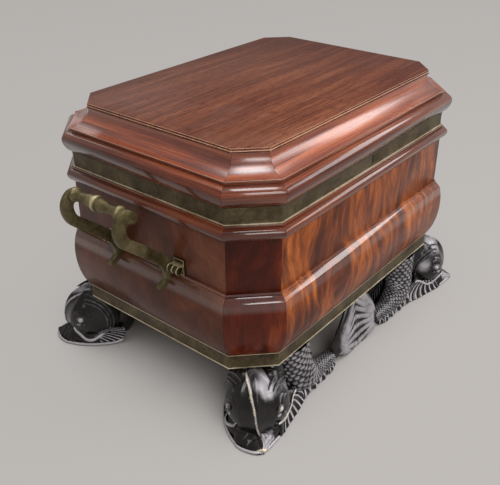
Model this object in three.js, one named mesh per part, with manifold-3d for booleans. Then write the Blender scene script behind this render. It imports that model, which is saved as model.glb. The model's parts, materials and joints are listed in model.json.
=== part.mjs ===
import * as THREE from "three";
import { mergeVertices } from "three/addons/utils/BufferGeometryUtils.js";
import Module from "manifold-3d";

const wasm = await Module();
wasm.setup();

// A mahogany cellarette with a canted plan, a moulded lid, brass bands and four dolphin feet.
// Millimetres, +Z up, +X along the length, the keyhole side faces -Y. The origin is on the floor
// under the middle. Moulding offsets are measured outwards from the face of the upper wall.

// Driving dimensions of the case
const wallHalfLength = 361;
const wallHalfDepth = 263;
const cantLeg = 68;
const wallThickness = 22;
const feetHeight = 128;
const bottomThickness = 18;
const lowerWallHeight = 171;
const upperWallHeight = 167;

// Fits
const seatGap = 0.3;
const lidGap = 0.4;
const overrun = 4;
const weld = 0.0001;

// Case mouldings and bands
const wallFlare = 1.2;
const beadRise = 105;
const beadHeight = 27;
const beadDepth = 14.5;
const filletDepth = 3.5;
const friezeHeight = 32;
const bandThickness = 3.4;
const bandEdge = 2.4;
const bandEdgeProud = 0.8;
const friezeHollow = 1.6;
const baseBandHeight = 31;
const baseBandInset = 2.4;
const ledge = 4.5;
const ledgeDrop = 4;
const bulgeDepth = 20.5;
const bulgeRise = 117;
const flankReach = 45;
const flankHeight = 100;

// Lid
const railWidth = 40;
const torusHeight = 40;
const torusDepth = 15.5;
const coveHeight = 39.3;
const coveTopInset = 38.6;
const coveFootInset = 1.8;
const coveInnerInset = 52;
const coveNeck = 4.5;
const quirkHeight = 3.8;
const quirkInset = 3.2;
const coveFillet = 3;
const boardThickness = 8.7;
const boardInset = 36.6;
const boardArris = 1.2;
const soffitThickness = 8;
const soffitSet = 4;

// Liner
const linerThickness = 2;
const linerDrop = 6;

// Hinges
const hingeSpreadShare = 0.6;
const hingeLength = 70;
const hingeSet = 1.5;
const leafWidth = 20;
const leafThickness = 2;
const knuckleRadius = 4;
const hingePinRadius = 2;
const knuckleClearance = 0.4;

// Lock
const lockHalfLength = 32;
const lockSet = 15;
const lockHalfThickness = 7;
const lockHeight = 40;
const lockShell = 2.5;
const chamberHeight = 16;
const chamberRise = 20;
const boltTravelRoom = 9;
const boltBarHeight = 4;
const boltThickness = 3;
const prongHeight = 3.2;
const prongLength = 9.3;
const postLength = 4;
const stapleRoom = 1.2;
const stapleThickness = 3;
const stapleHalfWidth = 3.5;
const stapleLength = 14.2;
const staplePitch = 26;
const stapleOffset = -11;
const lockPlay = 0.6;
const slotPlay = 0.8;
const linkPlateHalfWidth = 6;
const keyholeRadius = 3;
const keyholeSlot = 1.5;
const keyholeHeight = 16;
const keyholeDrop = 8;

// Handles
const armReach = 103;
const armRise = 138;
const armWidth = 23;
const armThickness = 9.5;
const armInside = 62.5;
const pivotSet = 17;
const pivotRise = 17;
const pivotRadius = 3;
const pivotClearance = 0.3;
const rivetRadius = 5.5;
const rivetHeight = 2.2;
const postGap = 1;
const postThickness = 26;
const postHalfHeight = 16;
const postPlate = 4;
const knuckleRound = 8;
const gripRadius = 13;
const gripSet = 15;
const gripLift = 2;

// Feet, for a foot that is carved to the height given first
const carvedHeight = 128;
const headLength = 66;
const headHalfWidth = 50;
const headHeight = 77;
const headSet = 12;
const headCentreHeight = 52;
const keelHeight = 3;
const keelHalfWidth = 3;
const cheekLength = 41;
const cheekDepth = 37;
const cheekHeight = 41;
const cheekSet = 14;
const cheekSide = 20;
const cheekCentreHeight = 60;
const collarTube = 5;
const collarStep = 8;
const eyeRadius = 6.5;
const socketRadius = 9.5;
const socketTube = 2.6;
const eyeSet = 33;
const eyeSide = 48;
const eyeHeight = 74;
const lipTube = 3.6;
const lipSide = 48;
const jawLength = 64;
const jawHalfWidth = 59;
const jawHeight = 15;
const snoutReach = 95;
const snoutHalfWidth = 19;
const snoutHeight = 32;
const snoutTipHeight = 9;
const bodyGirth = 62;
const bodyDepth = 34;
const bodySet = 21;
const neckSet = 84.6;
const bendReach = 48.8;
const fanHubHeight = 22;
const fanHubShare = 0.28;
const fanTenon = 6;
const fanSet = 18;
const fanLift = 26;
const fanBulge = 13;
const fanThickness = 15;
const ribDepth = 3.2;
const finReach = 60;
const finLift = 13;
const finThickness = 10;

// Levels, from the floor up
const undersideZ = feetHeight;
const boardTopZ = undersideZ + bottomThickness;
const bandTopZ = undersideZ + baseBandHeight;
const shoulderZ = undersideZ + lowerWallHeight;
const bulgeZ = undersideZ + bulgeRise;
const rimZ = shoulderZ + upperWallHeight;
const friezeZ = rimZ - friezeHeight;
const lidZ = rimZ + lidGap;
const coveZ = lidZ + torusHeight + seatGap;
const coveTopZ = coveZ + coveHeight;
const lidTopZ = coveTopZ + seatGap + boardThickness;

const sideNames = [
  "front", "front_right", "right", "back_right", "back", "back_left", "left", "front_left",
];

const finishes = {
  top: { color: 0x6e3a22, roughness: 0.32, metalness: 0 },
  moulding: { color: 0x6a2c18, roughness: 0.25, metalness: 0 },
  veneer: { color: 0x7a3a1c, roughness: 0.28, metalness: 0 },
  inner: { color: 0x5a3420, roughness: 0.6, metalness: 0 },
  ebonised: { color: 0x1c1a1b, roughness: 0.38, metalness: 0 },
  bandBrass: { color: 0x5c5238, roughness: 0.5, metalness: 0.8 },
  handleBrass: { color: 0x6e6436, roughness: 0.42, metalness: 0.9 },
  hingeBrass: { color: 0xa98a4a, roughness: 0.4, metalness: 0.9 },
  zinc: { color: 0x7d8082, roughness: 0.55, metalness: 0.8 },
  steel: { color: 0x54504c, roughness: 0.45, metalness: 0.9 },
};

const cellarette = new THREE.Group();

function addPiece(name, geometry, finish) {
  geometry.computeVertexNormals();
  const piece = new THREE.Mesh(geometry, new THREE.MeshStandardMaterial(finishes[finish]));
  piece.name = name;
  cellarette.add(piece);
  return piece;
}

// Closed geometry from a list of points and triangles, turned so that its faces point outwards.
function closedGeometry(points, triangles) {
  let volume = 0;
  for (const [a, b, c] of triangles) {
    volume += points[a].dot(new THREE.Vector3().crossVectors(points[b], points[c]));
  }
  const faces = volume < 0 ? triangles.map(([a, b, c]) => [a, c, b]) : triangles;
  const geometry = new THREE.BufferGeometry().setFromPoints(points);
  geometry.setIndex(faces.flat());
  return geometry;
}

// Booleans: geometry to solid and back.
function solidOf(geometry) {
  const bare = geometry.clone();
  bare.deleteAttribute("normal");
  bare.deleteAttribute("uv");
  const merged = mergeVertices(bare, weld);
  const index = merged.index.array;
  const kept = [];
  for (let i = 0; i < index.length; i += 3) {
    const [a, b, c] = [index[i], index[i + 1], index[i + 2]];
    if (a !== b && b !== c && c !== a) {
      kept.push(a, b, c);
    }
  }
  return new wasm.Manifold(
    new wasm.Mesh({
      numProp: 3,
      vertProperties: new Float32Array(merged.attributes.position.array),
      triVerts: new Uint32Array(kept),
    }),
  );
}

function geometryOf(solid) {
  const mesh = solid.getMesh();
  const geometry = new THREE.BufferGeometry();
  geometry.setAttribute("position", new THREE.BufferAttribute(mesh.vertProperties, 3));
  geometry.setIndex(new THREE.BufferAttribute(mesh.triVerts, 1));
  return geometry;
}

function joined(geometries) {
  return geometries.map(solidOf).reduce((whole, next) => whole.add(next));
}

// A box between two opposite corners.
function boxBetween([x0, y0, z0], [x1, y1, z1]) {
  return new THREE.BoxGeometry(x1 - x0, y1 - y0, z1 - z0).translate(
    (x0 + x1) / 2,
    (y0 + y1) / 2,
    (z0 + z1) / 2,
  );
}

// A round bar along X or Y, between two ends.
function roundBar(axis, radius, from, to, [u, v], sides = 16) {
  const bar = new THREE.CylinderGeometry(radius, radius, to - from, sides);
  if (axis === "x") {
    return bar.rotateZ(Math.PI / 2).translate((from + to) / 2, u, v);
  }
  return bar.translate(u, (from + to) / 2, v);
}

// The canted plan at an offset from the wall face: eight corners, anticlockwise from the front left.
function planCorners(offset) {
  const a = wallHalfLength + offset;
  const b = wallHalfDepth + offset;
  const c = cantLeg + (2 - Math.SQRT2) * offset;
  return [
    [c - a, -b], [a - c, -b], [a, c - b], [a, b - c],
    [a - c, b], [c - a, b], [-a, b - c], [-a, c - b],
  ];
}

// One mitred length of a moulding. Both ends lie in the mitre planes, half a joint's gap back.
function mitredLength(profile, side) {
  const outline = profile.map(([d, z]) => new THREE.Vector2(d, z));
  const ends = [[], []];
  for (const [d, z] of profile) {
    const corners = planCorners(d);
    const from = new THREE.Vector3(...corners[side], z);
    const to = new THREE.Vector3(...corners[(side + 1) % corners.length], z);
    const back = to.clone().sub(from).setLength(seatGap / 2);
    ends[0].push(from.add(back));
    ends[1].push(to.sub(back));
  }
  const n = profile.length;
  const triangles = [];
  for (const [a, b, c] of THREE.ShapeUtils.triangulateShape(outline, [])) {
    triangles.push([a, b, c], [n + a, n + c, n + b]);
  }
  const turn = THREE.ShapeUtils.isClockWise(outline) ? 1 : -1;
  for (let i = 0; i < n; i++) {
    const j = (i + 1) % n;
    const [p, q] = turn > 0 ? [j, i] : [i, j];
    triangles.push([q, p, n + p], [q, n + p, n + q]);
  }
  return closedGeometry([...ends[0], ...ends[1]], triangles);
}

// A moulding or band that runs all the way round the plan in one piece.
function ringAround(profile) {
  const points = [];
  for (const [d, z] of profile) {
    for (const [x, y] of planCorners(d)) {
      points.push(new THREE.Vector3(x, y, z));
    }
  }
  const sides = sideNames.length;
  const n = profile.length;
  const triangles = [];
  for (let i = 0; i < n; i++) {
    for (let k = 0; k < sides; k++) {
      const a = i * sides + k;
      const b = i * sides + ((k + 1) % sides);
      const c = ((i + 1) % n) * sides + ((k + 1) % sides);
      const d = ((i + 1) % n) * sides + k;
      triangles.push([a, b, c], [a, c, d]);
    }
  }
  return closedGeometry(points, triangles);
}

// Closed skin over a row of equal loops, with a flat cap at each end.
function loft(loops) {
  const n = loops[0].length;
  const points = loops.flat();
  const triangles = [];
  for (let i = 0; i + 1 < loops.length; i++) {
    for (let k = 0; k < n; k++) {
      const a = i * n + k;
      const b = i * n + ((k + 1) % n);
      triangles.push([a, b, b + n], [a, b + n, a + n]);
    }
  }
  const last = (loops.length - 1) * n;
  for (let k = 1; k + 1 < n; k++) {
    triangles.push([0, k + 1, k], [last, last + k, last + k + 1]);
  }
  return closedGeometry(points, triangles);
}

// A canted slab or tub: the plan at a row of offsets and levels, capped at both ends.
function plannedSolid(levels) {
  return loft(levels.map(([d, z]) => planCorners(d).map(([x, y]) => new THREE.Vector3(x, y, z))));
}

// A rounded nose from its foot to its top. The widest point lies at a share of the height, and
// the lower half is drawn in by a power under 2.
function nose(foot, top, depth, wideShare, lowerPower, steps = 6) {
  const wide = foot + (top - foot) * wideShare;
  const points = [];
  for (let i = 0; i <= 2 * steps; i++) {
    const angle = (Math.PI / 2) * (i / steps - 1);
    const power = angle < 0 ? 2 / lowerPower : 1;
    const out = Math.abs(Math.cos(angle)) ** power;
    const up = Math.abs(Math.sin(angle)) ** power;
    points.push([depth * out, angle < 0 ? wide - (wide - foot) * up : wide + (top - wide) * up]);
  }
  points[0][0] = 0;
  points[2 * steps][0] = 0;
  return points;
}

// Feet: four carved dolphins. The foot at the front right is modelled, the others mirror it.
// In the head's own frame s runs outwards along the corner's diagonal, t across it towards the
// end of the case, and z up from the floor.
const baseOffset = -baseBandInset;
const footCorner = (() => {
  const corners = planCorners(baseOffset);
  return new THREE.Vector3((corners[1][0] + corners[2][0]) / 2, (corners[1][1] + corners[2][1]) / 2, 0);
})();
const footShare = feetHeight / carvedHeight;
const carvedCorner = footCorner.clone().divideScalar(footShare);
const headFrame = new THREE.Matrix4().makeRotationZ(-Math.PI / 4).setPosition(carvedCorner);

function onHead(s, t, z) {
  return new THREE.Vector3(s, t, z).applyMatrix4(headFrame);
}

function ellipsoidOnHead([s, t, z], [rs, rt, rz], around, along) {
  return new THREE.SphereGeometry(1, around, along)
    .rotateX(Math.PI / 2)
    .scale(rs, rt, rz)
    .translate(s, t, z)
    .applyMatrix4(headFrame);
}

// A ring that lies round a cheek, its plane facing sideways.
function ringOnHead([s, t, z], radius, tube, steps, sides) {
  return new THREE.TorusGeometry(radius, tube, sides, steps)
    .rotateX(Math.PI / 2)
    .translate(s, t, z)
    .applyMatrix4(headFrame);
}

// A round bar swept along a smooth curve.
function sweptBar(points, tube, steps, sides) {
  const section = new THREE.Shape();
  for (let k = 0; k < sides; k++) {
    const angle = (2 * Math.PI * k) / sides;
    const method = k === 0 ? "moveTo" : "lineTo";
    section[method](tube * Math.cos(angle), tube * Math.sin(angle));
  }
  return new THREE.ExtrudeGeometry(section, {
    steps,
    bevelEnabled: false,
    extrudePath: new THREE.CatmullRomCurve3(points),
  });
}

// A thick leaf over a grid: front(u, v) and back(u, v) give its two faces.
function leaf(front, back, alongSteps, acrossSteps) {
  const points = [];
  for (const face of [front, back]) {
    for (let i = 0; i <= alongSteps; i++) {
      for (let j = 0; j <= acrossSteps; j++) {
        points.push(face(i / alongSteps, j / acrossSteps));
      }
    }
  }
  const row = acrossSteps + 1;
  const sheet = row * (alongSteps + 1);
  const triangles = [];
  for (let i = 0; i < alongSteps; i++) {
    for (let j = 0; j < acrossSteps; j++) {
      const a = i * row + j;
      triangles.push([a, a + 1, a + row + 1], [a, a + row + 1, a + row]);
      triangles.push([sheet + a, sheet + a + row + 1, sheet + a + 1]);
      triangles.push([sheet + a, sheet + a + row, sheet + a + row + 1]);
    }
  }
  const rim = [];
  for (let j = 0; j < acrossSteps; j++) rim.push(j);
  for (let i = 0; i < alongSteps; i++) rim.push(i * row + acrossSteps);
  for (let j = acrossSteps; j > 0; j--) rim.push(alongSteps * row + j);
  for (let i = alongSteps; i > 0; i--) rim.push(i * row);
  rim.forEach((a, k) => {
    const b = rim[(k + 1) % rim.length];
    triangles.push([b, a, sheet + a], [b, sheet + a, sheet + b]);
  });
  return closedGeometry(points, triangles);
}

function curvePoint(a, b, c, u) {
  const w = 1 - u;
  return a.clone().multiplyScalar(w * w).addScaledVector(b, 2 * u * w).addScaledVector(c, u * u);
}

function alongPolyline(points, share) {
  const place = Math.min(share, 1) * (points.length - 1);
  const i = Math.min(Math.floor(place), points.length - 2);
  return points[i].clone().lerp(points[i + 1], place - i);
}

// Raised ribs across a leaf: 1 on a rib, 0 in the groove beside it.
function ribWave(share, count) {
  return 0.5 - 0.5 * Math.cos(2 * Math.PI * count * share);
}

function dolphinHead() {
  const parts = [];
  const skull = [headSet, 0, headCentreHeight];
  const keel = [headLength + keelHeight, keelHalfWidth, headHeight + keelHeight];
  parts.push(ellipsoidOnHead(skull, [headLength, headHalfWidth, headHeight], 16, 10));
  parts.push(ellipsoidOnHead(skull, keel, 4, 16));
  const lipShares = [[0.85, 0.65], [0.75, 0.4], [0.45, 0.22], [0.1, 0.24], [-0.4, 0.36], [-0.9, 0.6]];
  for (const side of [-1, 1]) {
    const cheek = [cheekSet, side * cheekSide, cheekCentreHeight];
    parts.push(ellipsoidOnHead(cheek, [cheekLength, cheekDepth, cheekHeight], 14, 9));
    for (const turn of [1, 2]) {
      const ring = [cheekSet - turn * collarTube, side * cheekSide, cheekCentreHeight];
      parts.push(ringOnHead(ring, cheekHeight + (turn - 0.5) * collarStep, collarTube, 16, 4));
    }
    const eye = [eyeSet, side * eyeSide, eyeHeight];
    parts.push(ellipsoidOnHead(eye, [eyeRadius, eyeRadius, eyeRadius], 6, 4));
    parts.push(ringOnHead(eye, socketRadius, socketTube, 8, 4));
    const lip = lipShares.map(([s, z]) =>
      onHead(headSet + s * cheekLength, side * lipSide, z * cheekCentreHeight));
    parts.push(sweptBar(lip, lipTube, 8, 4));
  }
  const jaw = [[1, 0], [1, 0.5], [0.78, 1]].map(([share, height]) => {
    const loop = [];
    for (let k = 0; k < 12; k++) {
      const angle = (2 * Math.PI * k) / 12;
      loop.push(
        onHead(
          headSet + share * jawLength * Math.cos(angle),
          share * jawHalfWidth * Math.sin(angle),
          height * jawHeight,
        ),
      );
    }
    return loop;
  });
  parts.push(loft(jaw));
  parts.push(snout());
  return parts;
}

// The upturned beak: half-round sections that shrink towards the tip and stand on the floor.
function snout() {
  const rootShare = 0.55;
  const loops = [0, 0.35, 0.7, 1].map((share) => {
    const s = snoutReach * (rootShare + (1 - rootShare) * share);
    const height = snoutTipHeight + (snoutHeight - snoutTipHeight) * (1 - share) ** 1.6;
    const halfWidth = snoutHalfWidth * (1 - 0.35 * share);
    const loop = [];
    for (let k = 0; k <= 8; k++) {
      const angle = (Math.PI * k) / 8;
      loop.push(onHead(s, halfWidth * Math.cos(angle), height * Math.sin(angle) ** 0.7));
    }
    loop[0].z = 0;
    loop[8].z = 0;
    return loop;
  });
  return loft(loops);
}

// The body drops from the case to the floor, bends and tapers into the stem of the tail. Its
// stations are shares of the bend's reach, of the stem from there to the fan's hub, of the height,
// the girth and the depth.
function dolphinBody() {
  const stations = [
    [0, 0, 1.06, 1, 0.85], [0.067, 0, 0.86, 1, 0.95], [0.167, 0, 0.62, 0.96, 1],
    [0.4, 0, 0.4, 0.82, 0.95], [1, 0, 0.2, 0.52, 0.75], [1, 0.387, 0.11, 0.26, 0.5],
    [1, 0.71, 0.1, 0.18, 0.38], [1, 1, 0.15, 0.15, 0.33],
  ];
  const y = carvedCorner.y - bodySet;
  const neckX = carvedCorner.x - neckSet;
  const stem = neckX - bendReach - fanHubShare * carvedCorner.x;
  const spine = stations.map(([bend, share, z]) =>
    new THREE.Vector3(neckX - bend * bendReach - share * stem, y, z * carvedHeight));
  const curve = new THREE.CatmullRomCurve3(spine);
  const sides = 10;
  const loops = stations.map(([, , , girth, depth], i) => {
    const along = curve.getTangent(i / (stations.length - 1));
    const across = new THREE.Vector3(along.z, 0, -along.x).normalize();
    const loop = [];
    for (let k = 0; k < sides; k++) {
      const angle = (2 * Math.PI * k) / sides;
      const point = spine[i].clone();
      point.addScaledVector(across, girth * bodyGirth * Math.cos(angle));
      point.y += depth * bodyDepth * Math.sin(angle);
      loop.push(point);
    }
    return loop;
  });
  return loft(loops);
}

// The tail fan: ribs that arch from a hub by the floor to an edge beside the centre line.
function tailFan() {
  const hubX = fanHubShare * carvedCorner.x + fanTenon;
  const hub = new THREE.Vector3(hubX, carvedCorner.y - fanSet, fanHubHeight);
  const edgeShares = [
    [0.12, -0.08, -0.02], [0.0, 0, -0.02], [-0.01, 0.2, 0.2], [-0.01, 0.5, 0.42],
    [-0.01, 0.75, 0.66], [-0.01, 0.9, 0.9], [0.03, 0.85, 1.08], [0.085, 0.4, 1.08],
  ];
  const edge = edgeShares.map(([x, back, z]) =>
    new THREE.Vector3(x * carvedCorner.x, hub.y + back * fanSet, z * carvedHeight));
  const ribs = 8;
  const middle = (u, v) => {
    const end = alongPolyline(edge, v);
    const control = hub.clone().lerp(end, 0.5);
    control.z += fanLift * (1 - v * v);
    control.y -= fanBulge;
    return curvePoint(hub, control, end, u);
  };
  const front = (u, v) => {
    const point = middle(0.02 + 0.98 * u, v);
    point.y -= ribDepth * (0.4 + 0.6 * u) * ribWave(v, ribs);
    point.z += (1 - u) * (v - 0.5) * fanHubHeight;
    return point;
  };
  const back = (u, v) => {
    const point = middle(0.02 + 0.98 * u, v);
    point.y += fanThickness * (1 - 0.4 * u);
    point.z += (1 - u) * (v - 0.5) * fanHubHeight;
    return point;
  };
  return leaf(front, back, 4, 2 * ribs);
}

// A pectoral fin: ribs that sweep back from under the cheek and end on the floor. The root and the
// edge are shares of the fin's reach in the head's frame. The fin on the body's side spreads wide,
// the one on the other side lies close to the jaw.
const finRootShares = { wide: [0.08, 1.04, 0.36], close: [-0.2, 0.73, 0.4] };
const finEdgeShares = {
  wide: [[-0.75, 1.0, 0.5], [-0.88, 1.35, 0.2], [-0.75, 1.8, 0], [-0.3, 1.7, 0], [0.18, 1.33, 0]],
  close: [[-0.95, 0.75, 0.57], [-1.0, 0.78, 0.33], [-0.95, 0.82, 0.1], [-0.75, 0.85, 0], [-0.37, 0.95, 0]],
};

function pectoralFin(kind, side) {
  const place = ([s, t, z]) => onHead(s * finReach, side * t * finReach, z * finReach);
  const hub = place(finRootShares[kind]);
  const edge = finEdgeShares[kind].map(place);
  const ribs = 5;
  const inwards = onHead(0, 0, 0).sub(onHead(0, side * finReach, 0)).normalize();
  const middle = (u, v) => {
    const end = alongPolyline(edge, v);
    const control = hub.clone().lerp(end, 0.55);
    control.z += finLift;
    return curvePoint(hub, control, end, 0.04 + 0.96 * u);
  };
  const front = (u, v) => {
    const point = middle(u, v);
    point.z += ribDepth * u * ribWave(v, ribs);
    return point;
  };
  const back = (u, v) => {
    const point = middle(u, v);
    point.addScaledVector(inwards, finThickness);
    point.z -= finThickness;
    return point;
  };
  return leaf(front, back, 3, 2 * ribs);
}

function dolphinFoot() {
  const carved = joined([
    ...dolphinHead(),
    dolphinBody(),
    tailFan(),
    pectoralFin("wide", -1),
    pectoralFin("close", 1),
  ]);
  const reach = wallHalfLength + snoutReach * footShare;
  const block = boxBetween(
    [seatGap / 2, -reach, 0],
    [reach + snoutReach * footShare, 0, undersideZ - seatGap],
  );
  return geometryOf(carved.scale([footShare, footShare, footShare]).intersect(solidOf(block)));
}

const footGeometry = dolphinFoot();
const footPlaces = [
  ["dolphin_front_right", 1, 1],
  ["dolphin_front_left", -1, 1],
  ["dolphin_back_right", 1, -1],
  ["dolphin_back_left", -1, -1],
];
for (const [name, alongSign, acrossSign] of footPlaces) {
  const foot = addPiece(name, footGeometry.clone(), "ebonised");
  foot.scale.set(alongSign, acrossSign, 1);
}

// Bottom board and metal liner
const rebate = baseBandInset + bandThickness / 2;
addPiece(
  "bottom_board",
  plannedSolid([[-rebate - seatGap, undersideZ], [-rebate - seatGap, boardTopZ]]),
  "inner",
);
const linerOffset = -wallThickness - seatGap;
const linerFloorZ = boardTopZ + seatGap;
const linerTopZ = rimZ - linerDrop;
const tub = solidOf(plannedSolid([[linerOffset, linerFloorZ], [linerOffset, linerTopZ]]));
const well = solidOf(
  plannedSolid([
    [linerOffset - linerThickness, linerFloorZ + linerThickness],
    [linerOffset - linerThickness, linerTopZ + overrun],
  ]),
);
addPiece("well_liner", geometryOf(tub.subtract(well)), "zinc");

// Base band: sheet brass bent round the plan, with a raised line at each edge
const bandInner = -rebate;
const bandFace = -baseBandInset;
addPiece(
  "base_band",
  ringAround([
    [bandInner, undersideZ],
    [bandFace + bandEdgeProud, undersideZ],
    [bandFace + bandEdgeProud, undersideZ + bandEdge],
    [bandFace, undersideZ + bandEdge],
    [bandFace, bandTopZ - bandEdge / 2],
    [bandFace + bandEdgeProud, bandTopZ - bandEdge / 2],
    [bandFace + bandEdgeProud, bandTopZ],
    [bandInner, bandTopZ],
  ]),
  "bandBrass",
);

// Lower walls: the swelling flank, its round shoulder and a small ledge under the upper wall
function lowerWallProfile() {
  const profile = [
    [-wallThickness, boardTopZ + seatGap],
    [-rebate - seatGap, boardTopZ + seatGap],
    [-rebate - seatGap, bandTopZ + seatGap],
  ];
  const steps = 8;
  const flankZ = bandTopZ + seatGap;
  for (let i = 0; i < steps; i++) {
    const z = flankZ + ((bulgeZ - flankZ) * i) / steps;
    const h = Math.min((bulgeZ - z) / flankHeight, 1);
    profile.push([bulgeDepth - flankReach * (1 - Math.sqrt(1 - h * h)), z]);
  }
  const crown = shoulderZ - ledgeDrop;
  for (let i = 0; i <= steps; i++) {
    const angle = ((Math.PI / 2) * i) / steps;
    profile.push([
      ledge + (bulgeDepth - ledge) * Math.cos(angle),
      bulgeZ + (crown - bulgeZ) * Math.sin(angle),
    ]);
  }
  profile.push([ledge, shoulderZ], [-wallThickness, shoulderZ]);
  return profile;
}

// Upper walls: the plain panel, the bead moulding, a fillet and the rebate for the frieze band
const friezeRebate = bandThickness + seatGap;
function upperWallProfile() {
  const foot = shoulderZ + seatGap;
  const beadZ = shoulderZ + beadRise;
  const profile = [[-wallThickness, foot], [wallFlare, foot]];
  profile.push(...nose(beadZ, beadZ + beadHeight, beadDepth, 0.6, 1.7, 5));
  profile.push(
    [filletDepth, beadZ + beadHeight],
    [filletDepth, friezeZ - seatGap],
    [-friezeRebate, friezeZ - seatGap],
    [-friezeRebate, rimZ],
    [-wallThickness, rimZ],
  );
  profile[2 + 2 * 5][0] = filletDepth + seatGap;
  return profile;
}

// Frieze band: slightly hollow brass with a thin raised line below and above
function friezeProfile() {
  return [
    [-bandThickness, friezeZ],
    [bandEdgeProud, friezeZ],
    [bandEdgeProud, friezeZ + bandEdge],
    [-friezeHollow / 2, friezeZ + bandEdge],
    [-friezeHollow, (friezeZ + rimZ) / 2],
    [-friezeHollow / 2, rimZ - bandEdge],
    [0, rimZ - bandEdge],
    [0, rimZ],
    [-bandThickness, rimZ],
  ];
}

// Hinges: two butt hinges let into the rim and the lid at the back
const hingeY = wallHalfDepth + hingeSet;
const hingeZ = (rimZ + lidZ) / 2;
const knuckleRoom = knuckleRadius + knuckleClearance;
const knuckleLength = hingeLength / 3;

function hingeSockets(levelFrom, levelTo) {
  return [-1, 1].flatMap((end) => {
    const x = end * hingeSpreadShare * wallHalfLength;
    const half = hingeLength / 2 + seatGap;
    return [
      boxBetween([x - half, hingeY - leafWidth - seatGap, levelFrom], [x + half, hingeY + overrun, levelTo]),
      roundBar("x", knuckleRoom, x - half, x + half, [hingeY, hingeZ], 20),
      boxBetween(
        [x - half, hingeY, hingeZ - knuckleRoom],
        [x + half, hingeY + bulgeDepth, hingeZ + knuckleRoom],
      ),
    ];
  });
}
const rimSockets = joined(hingeSockets(rimZ - leafThickness - seatGap, rimZ + overrun));
const lidSockets = joined(hingeSockets(lidZ - overrun, lidZ + leafThickness + seatGap));

// Lock: a box lock let into the front wall. Its bolt slides along X through two staples that
// hang from the link plate in the lid.
const lockY = -(wallHalfDepth - lockSet);
const lockTopZ = rimZ - lidGap;
const lockBottomZ = lockTopZ - lockHeight;
const chamberZ = lockBottomZ + chamberRise;
const chamberTopZ = chamberZ + chamberHeight;
const chamberHalfDepth = lockHalfThickness - lockShell;
const stapleXs = [stapleOffset, stapleOffset + staplePitch];
const stapleBottomZ = lidZ - stapleLength;
const prongZ = stapleBottomZ + boltThickness;
const keyholeZ = friezeZ + friezeHeight / 2 - keyholeDrop;

function keyhole(from, to) {
  const eyeZ = keyholeZ + keyholeHeight - keyholeRadius;
  return joined([
    roundBar("y", keyholeRadius, from, to, [0, eyeZ]),
    boxBetween([-keyholeSlot, from, keyholeZ], [keyholeSlot, to, eyeZ]),
  ]);
}
const frontFaceY = -wallHalfDepth;
const lockFrontY = lockY - lockHalfThickness;
const keyway = keyhole(frontFaceY - overrun, lockY);
const mortise = solidOf(
  boxBetween(
    [-lockHalfLength - seatGap, lockFrontY - seatGap, lockBottomZ - seatGap],
    [lockHalfLength + seatGap, -(wallHalfDepth - wallThickness) + overrun, rimZ + overrun],
  ),
);

function lockCase() {
  const body = solidOf(
    boxBetween(
      [-lockHalfLength, lockFrontY, lockBottomZ],
      [lockHalfLength, lockY + lockHalfThickness - seatGap, lockTopZ],
    ),
  );
  const rooms = [
    boxBetween(
      [lockShell - lockHalfLength, lockY - chamberHalfDepth, chamberZ],
      [lockHalfLength - lockShell, lockY + chamberHalfDepth, chamberTopZ],
    ),
  ];
  for (const x of stapleXs) {
    const half = stapleThickness / 2 + slotPlay;
    rooms.push(
      boxBetween(
        [x - half, lockY - stapleHalfWidth - slotPlay, chamberTopZ - overrun],
        [x + half, lockY + stapleHalfWidth + slotPlay, lockTopZ + overrun],
      ),
    );
  }
  return geometryOf(body.subtract(joined(rooms)).subtract(keyway));
}

function lockBolt() {
  const barZ = chamberZ + lockPlay;
  const half = boltThickness / 2;
  const tips = stapleXs.map((x) => x - stapleThickness / 2 - stapleRoom);
  const left = tips[0] - prongLength - postLength;
  const right = lockHalfLength - lockShell - boltTravelRoom;
  const parts = [boxBetween([left, lockY - half, barZ], [right, lockY + half, barZ + boltBarHeight])];
  for (const tip of tips) {
    const post = tip - prongLength - postLength;
    parts.push(boxBetween([post, lockY - half, barZ], [tip - prongLength, lockY + half, prongZ + prongHeight]));
    parts.push(boxBetween([post, lockY - half, prongZ], [tip, lockY + half, prongZ + prongHeight]));
  }
  return geometryOf(joined(parts));
}

function linkPlate() {
  const parts = [
    boxBetween(
      [-lockHalfLength, lockY - linkPlateHalfWidth, lidZ],
      [lockHalfLength, lockY + linkPlateHalfWidth, lidZ + leafThickness],
    ),
  ];
  for (const x of stapleXs) {
    parts.push(
      boxBetween(
        [x - stapleThickness / 2, lockY - stapleHalfWidth, stapleBottomZ],
        [x + stapleThickness / 2, lockY + stapleHalfWidth, lidZ + leafThickness],
      ),
    );
  }
  const eyes = stapleXs.map((x) =>
    boxBetween(
      [x - stapleThickness, lockY - boltThickness / 2 - lockPlay, prongZ - lockPlay],
      [x + stapleThickness, lockY + boltThickness / 2 + lockPlay, prongZ + prongHeight + lockPlay],
    ));
  return geometryOf(joined(parts).subtract(joined(eyes)));
}
const linkSocket = solidOf(
  boxBetween(
    [-lockHalfLength - seatGap, lockY - linkPlateHalfWidth - seatGap, lidZ - overrun],
    [lockHalfLength + seatGap, lockY + linkPlateHalfWidth + seatGap, lidZ + leafThickness + seatGap],
  ),
);

// Case walls, eight mitred boards in each tier
sideNames.forEach((name, side) => {
  addPiece(`lower_wall_${name}`, mitredLength(lowerWallProfile(), side), "veneer");
  let wall = mitredLength(upperWallProfile(), side);
  if (name === "front") {
    wall = geometryOf(solidOf(wall).subtract(mortise).subtract(keyway));
  }
  if (name === "back") {
    wall = geometryOf(solidOf(wall).subtract(rimSockets));
  }
  addPiece(`upper_wall_${name}`, wall, "veneer");
});
addPiece(
  "frieze_band",
  geometryOf(solidOf(ringAround(friezeProfile())).subtract(rimSockets).subtract(keyway)),
  "bandBrass",
);
addPiece("lock_case", lockCase(), "steel");
addPiece("lock_bolt", lockBolt(), "steel");

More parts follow.
